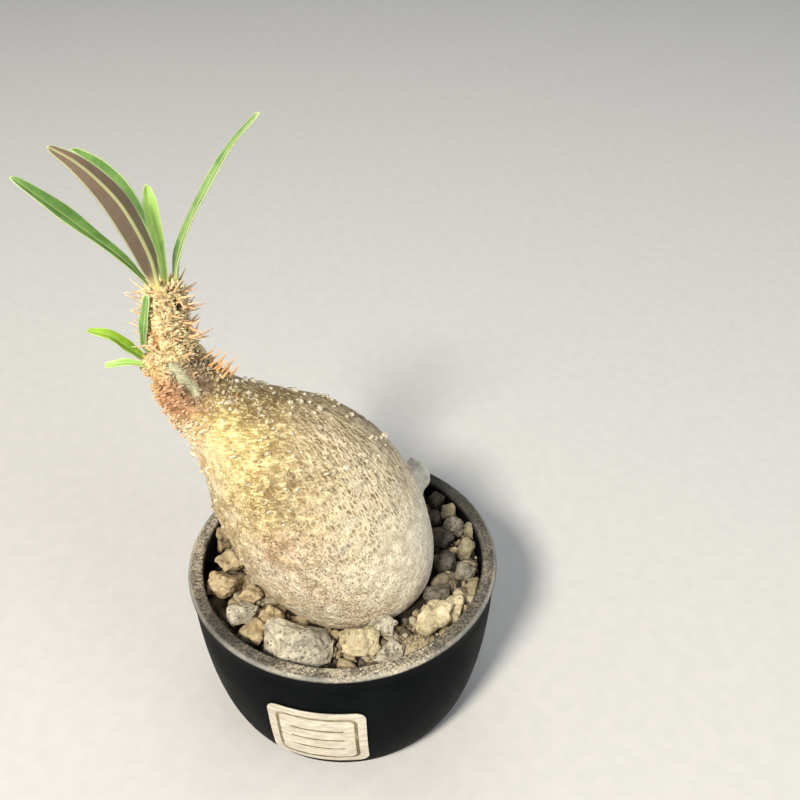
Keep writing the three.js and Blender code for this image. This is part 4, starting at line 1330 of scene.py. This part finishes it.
@functools.cache
def stone_rock(kind, shade):
    dark, pale, specks = STONE_TINTS[kind]
    dark = shade * np.array(dark)
    pale = shade * np.array(pale)
    skin = Skin(f"rock_of_{kind}_{round(10 * shade)}", 0.92, 0.2)
    fine = skin.noise(0.5, 4.0, 0.72)
    skin.base = skin.blend(skin.noise(2.8, 6.0, 0.68).span(0.36, 0.64), dark, pale)
    skin.coat(skin.noise(6.0, 3.0).span(0.48, 0.66, 0, 0.5), 0.62 * dark)
    skin.coat(fine.span(0.5, 0.66, 0, 0.45), np.minimum(1.2 * pale, 0.9))
    skin.coat(fine.span(0.47, 0.32, 0, 0.5), 0.5 * dark)
    black = skin.cells(1.15).span(0.3, 0.17) * specks * skin.noise(4.5, 2.0).span(0.42, 0.6)
    skin.coat(black, (0.03, 0.029, 0.027))
    # Pits and cracks darkened: painted shade in the hollows of the stone.
    skin.coat(skin.mark("hollow") * 0.8, 0.25 * dark)
    # Painted shade: the stone turns nearly black low down, near the gravel's level.
    skin.coat(skin.mark("gravel_line_shade") * 0.85, (0.018, 0.015, 0.012))
    return skin.finish(None, black.line(-0.5, fine), 0.85, 0.3)


def broken_faces(points, random, count):
    """Cuts the bulges of a stone back to flat faces, as a broken stone has."""
    centre = points.mean(0)
    points = points - centre
    for _ in range(count):
        way = unit(random.standard_normal(3))
        reach = points @ way
        limit = reach.max() * (1 - BREAK_DEPTH * random.random())
        points = points - way * np.maximum(reach - limit, 0)[:, None]
    return points + centre


def squared(points, random, share):
    """Fills a round stone out towards the corners of a block, inside the box it had."""
    low, high = points.min(0), points.max(0)
    turned, _ = np.linalg.qr(random.standard_normal((3, 3)))
    local = ((points - (low + high) / 2) / ((high - low) / 2)) @ turned
    longer = np.linalg.norm(local, axis=1) / np.maximum((local**4).sum(1) ** 0.25, 1e-6)
    local = (local * longer[:, None] ** share) @ turned.T
    bottom, top = local.min(0), local.max(0)
    return low + (local - bottom) / (top - bottom) * (high - low)


def make_stone(name, slot, order):
    """A porous stone grown from its solid: broken faces, rough grain, pits and fine cracks."""
    piece = place_object(name + "_rock", frame["nodes"][name].data.copy())
    piece.data.materials.clear()
    low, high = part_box(name)
    size = max(high - low) / MM
    # The stones at the right get painted shade and a worn shape.
    in_painted_shade = name.startswith("stone_right")
    worn = in_painted_shade or name == "stone_rear"
    rounds, square, breaks, grain = WORN_STONE if worn else FRESH_STONE
    remesh(piece, SMALL_STONE_VOXEL if size < SMALL_STONE else STONE_VOXEL, rounds)
    seed = 100 + order
    random = np.random.default_rng(seed)
    points = broken_faces(squared(points_of(piece), random, square), random, breaks)
    move_points(piece, points)
    near, _, draw = cell_pattern(points, 1.8, seed + 3)
    pit = np.clip(1 - near / (0.3 + 0.5 * draw), 0, 1) * (draw > 0.55)
    crack = bell(layered_noise(points, size * 0.5, 2, seed + 5), 0.03)
    push = 0.045 * size * smooth_noise(points, size * 0.34, seed)
    push += 0.02 * size * smooth_noise(points, size * 0.15, seed + 1)
    push += grain * (layered_noise(points, 1.7, 3, seed + 2) - 2.2 * pit - 1.4 * crack)
    move_points(piece, clamp_inside_pot(points + point_values(piece, "normal") * push[:, None]))
    # Painted shade for the pits and, on fresh stones, the cracks.
    hollow = np.clip(1.2 * pit + 0.6 * crack * (not worn), 0, 1)
    # Also stored: painted shade low on the stone, near the gravel's level.
    store(piece, {"hollow": hollow, "gravel_line_shade": ramp(points[:, 2], GRAVEL_TOP + 1.8, GRAVEL_TOP - 0.4)})
    rock = stone_rock(name if name in STONE_TINTS else slot, PAINTED_SHADE_TINT if in_painted_shade else 1.0)
    finish_piece(piece, slot, rock, name)
    return piece


def clamp_inside_pot(points):
    radius = np.hypot(points[:, 0], points[:, 1])
    limit = inner_radius(np.minimum(points[:, 2], POT_HEIGHT)) - 0.15
    share = np.minimum(1.0, limit / np.maximum(radius, 1e-6))
    return points * np.stack([share, share, np.ones(len(points))], 1)


def make_stones():
    slots = {s["node"]: s["material_slot"] for s in frame["record"]["subparts"]}
    names = sorted(name for name in frame["nodes"] if name.startswith("stone_"))
    return [make_stone(name, slots[name], order) for order, name in enumerate(names)]


# Gravel

GRAVEL_TOP = 49.0
SAND_PLACE = (23.0, -31.5)
BED_SIDES = 260
SCATTER_TRIES = 30
PEBBLE_ROOM = 0.55

# Each row: name, count, least and greatest radius, lift, detail, roughness, and whether on sand too
PEBBLES = [
    ("gravel_coarse", 300, 1.4, 2.9, 0.55, 3, 0.22, False),
    ("gravel_middle", 800, 0.7, 1.5, 0.8, 2, 0.25, False),
    ("gravel_fine", 3200, 0.2, 0.55, 1.5, 1, 0.3, True),
]

# Tints of the grit from dark to pale, and the draws between which each one takes over
GRIT_TINTS = [
    ((0.29, 0.23, 0.14), (0.58, 0.465, 0.28), 0.25, 0.5),
    ((0.36, 0.31, 0.22), (0.64, 0.56, 0.40), 0.68, 0.9),
]


def sand_share(x, y):
    """Where fine sand is banked up, at the right front."""
    return bell(x - SAND_PLACE[0], 8.5) * bell(y - SAND_PLACE[1], 6.5)


def sandy_ground(points):
    return ramp(sand_share(points[:, 0], points[:, 1]), 0.25, 0.6)


def gravel_height(x, y):
    """The loose surface: a little uneven, high at the right front and low along the left wall."""
    flat = np.stack([x, y, 0 * x], 1)
    bumps = 0.8 * smooth_noise(flat, 9, 61) + 0.4 * smooth_noise(flat, 4, 62)
    low = ramp(np.hypot(x, y), 33, 39) * ramp(-x - 0.5 * y, 12, 26)
    right = bell(x - 38, 10) * bell(y - 4, 22)
    return GRAVEL_TOP - 0.6 + bumps + 3.4 * sand_share(x, y) + 1.6 * right - 4.5 * low


def make_bed():
    """The body of the filling under the pebbles: a disc with a rough top."""
    reach = (float(inner_radius(GRAVEL_TOP - 4)) - 0.2) * np.linspace(0.01, 1, 90) ** 0.8
    top = rings_round(reach, 0 * reach, BED_SIDES)
    top[:, 2] = gravel_height(top[:, 0], top[:, 1])
    top[:, 2] += 0.3 * layered_noise(top, 1.2, 3, 64)
    levels = np.linspace(GRAVEL_TOP - 6.5, FLOOR_HEIGHT + 0.3, 14)
    wall = rings_round(inner_radius(levels) - 0.2, levels, BED_SIDES)
    ends = [[0, 0, top[:BED_SIDES, 2].mean()], [0, 0, levels[-1]]]
    points = np.concatenate([top, wall, ends])
    sand = sandy_ground(points)
    faces = tube_faces(len(reach) + len(levels), BED_SIDES)[:, ::-1]
    # The bed shows only between the pebbles and is painted nearly black there, apart from under the sand:
    # painted shade.
    piece = mesh_piece("gravel_bed", points, faces, {"draw": 0.3 + 0.45 * sand, "depth": 0.9 - 0.9 * sand})
    finish_piece(piece, "gravel_grit", gravel_grit(), "gravel")


def ball_shape(detail):
    """Points and triangles of one ball, shared by all pebbles of a size."""
    ball = bmesh.new()
    bmesh.ops.create_icosphere(ball, subdivisions=detail, radius=1.0)
    points = np.array([v.co[:] for v in ball.verts])
    faces = np.array([[v.index for v in f.verts] for f in ball.faces])
    ball.free()
    return points, faces


def stone_trees(pieces):
    trees = []
    for piece in pieces:
        points = points_of(piece)
        piece.data.calc_loop_triangles()
        corners = np.zeros(len(piece.data.loop_triangles) * 3, np.int32)
        piece.data.loop_triangles.foreach_get("vertices", corners)
        tree = BVHTree.FromPolygons(points.tolist(), corners.reshape(-1, 3).tolist())
        trees.append((points.min(0), points.max(0), tree))
    return trees


def has_room(trees, place, radius):
    """Whether a ball at the place is clear of the large stones, apart from a little sinking in."""
    for low, high, tree in trees:
        if (place < low - radius).any() or (place > high + radius).any():
            continue
        spot, normal, _, gap = tree.find_nearest(Vector(place))
        if spot is None:
            continue
        inside = (Vector(place) - spot).dot(normal) < 0
        if inside or gap < PEBBLE_ROOM * radius:
            return False
    return True


def scatter(random, trees, count, low, high, lift, sandy):
    """Places for loose pebbles between the stem and the wall."""
    stem_line = spline(STEM, np.linspace(0, 6, 90))
    places = []
    for _ in range(count * SCATTER_TRIES):
        if len(places) == count:
            break
        radius = low + (high - low) * random.random() ** 1.7
        reach = (LIP_RADIUS - 0.8) * math.sqrt(random.random())
        turn = random.random() * 2 * math.pi
        x = reach * math.cos(turn)
        y = reach * math.sin(turn)
        if not sandy and random.random() < 1.6 * sand_share(x, y):
            continue
        ground = float(gravel_height(np.array([x]), np.array([y]))[0])
        z = ground + lift * radius * (0.2 + random.random())
        if reach > float(inner_radius(z)) - 0.75 * radius:
            continue
        place = np.array([x, y, z])
        stem_gap = (np.linalg.norm(stem_line[:, :3] - place, axis=1) - stem_line[:, 3]).min()
        if stem_gap > PEBBLE_ROOM * radius and has_room(trees, place, radius):
            places.append((x, y, z, radius))
    return np.array(places)


def pebble_mesh(name, places, random, detail, rough):
    ball, single = ball_shape(detail)
    blocky = (np.abs(ball) ** 4).sum(1) ** 0.25
    points = []
    for index, (*place, radius) in enumerate(places):
        stretch = np.array([1.25, 1.0, 0.8]) * (0.8 + 0.4 * random.random(3))
        lumps = smooth_noise(ball * 1.3 + index * 9.7, 1.0, 71)
        lumps += 0.5 * smooth_noise(ball + index * 3.1, 0.45, 72)
        shape = ball / blocky[:, None] ** 0.6 * (1 + rough * lumps)[:, None] * stretch * radius * 0.9
        turned, _ = np.linalg.qr(random.standard_normal((3, 3)))
        points.append(shape @ turned + place)
    x, y, z, _ = places.T
    # Pebbles lying lower in the bed are darkened: painted shade.
    depth = np.clip((gravel_height(x, y) + 0.8 - z) / 2.5, 0, 0.8)
    sand = sandy_ground(places)
    draw = np.maximum(random.random(len(places)), 0.65 * sand)
    marks = {"draw": np.repeat(draw, len(ball)), "depth": np.repeat(depth * (1 - sand), len(ball))}
    faces = copies(single, len(ball), len(places))
    piece = mesh_piece(name, clamp_inside_pot(np.concatenate(points)), faces, marks)
    finish_piece(piece, "gravel_grit", gravel_grit(), "gravel")


def make_gravel(stones):
    random = np.random.default_rng(4)
    trees = stone_trees(stones)
    make_bed()
    for name, count, low, high, lift, detail, rough, sandy in PEBBLES:
        places = scatter(random, trees, count, low, high, lift, sandy)
        pebble_mesh(name, places, random, detail, rough)


@functools.cache
def gravel_grit():
    skin = Skin("loose_grit", 0.93, 0.2)
    draw = skin.mark("draw")
    mottle = skin.noise(1.8, 5.0, 0.65)
    mottled = mottle.span(0.3, 0.7)
    fine = skin.noise(0.4, 3.0, 0.7)
    skin.base = skin.blend(mottled, (0.075, 0.06, 0.043), (0.20, 0.165, 0.12))
    for dark, pale, low, high in GRIT_TINTS:
        skin.coat(draw.span(low, high), skin.blend(mottled, dark, pale))
    skin.coat(fine.span(0.35, 0.65, 0.3, 0.0), (0.12, 0.09, 0.05))
    # Painted shade: darkened by the depth mark.
    skin.coat(skin.mark("depth"), (0.010, 0.008, 0.006))
    return skin.finish(None, skin.math("ADD", fine, mottle), 0.7, 0.2)


make_camera()
make_studio()
make_floor()
make_pot()
make_label()
make_stem()
make_domes()
make_spines()
for leaf in LEAVES:
    make_leaf(leaf)
make_gravel(make_stones())
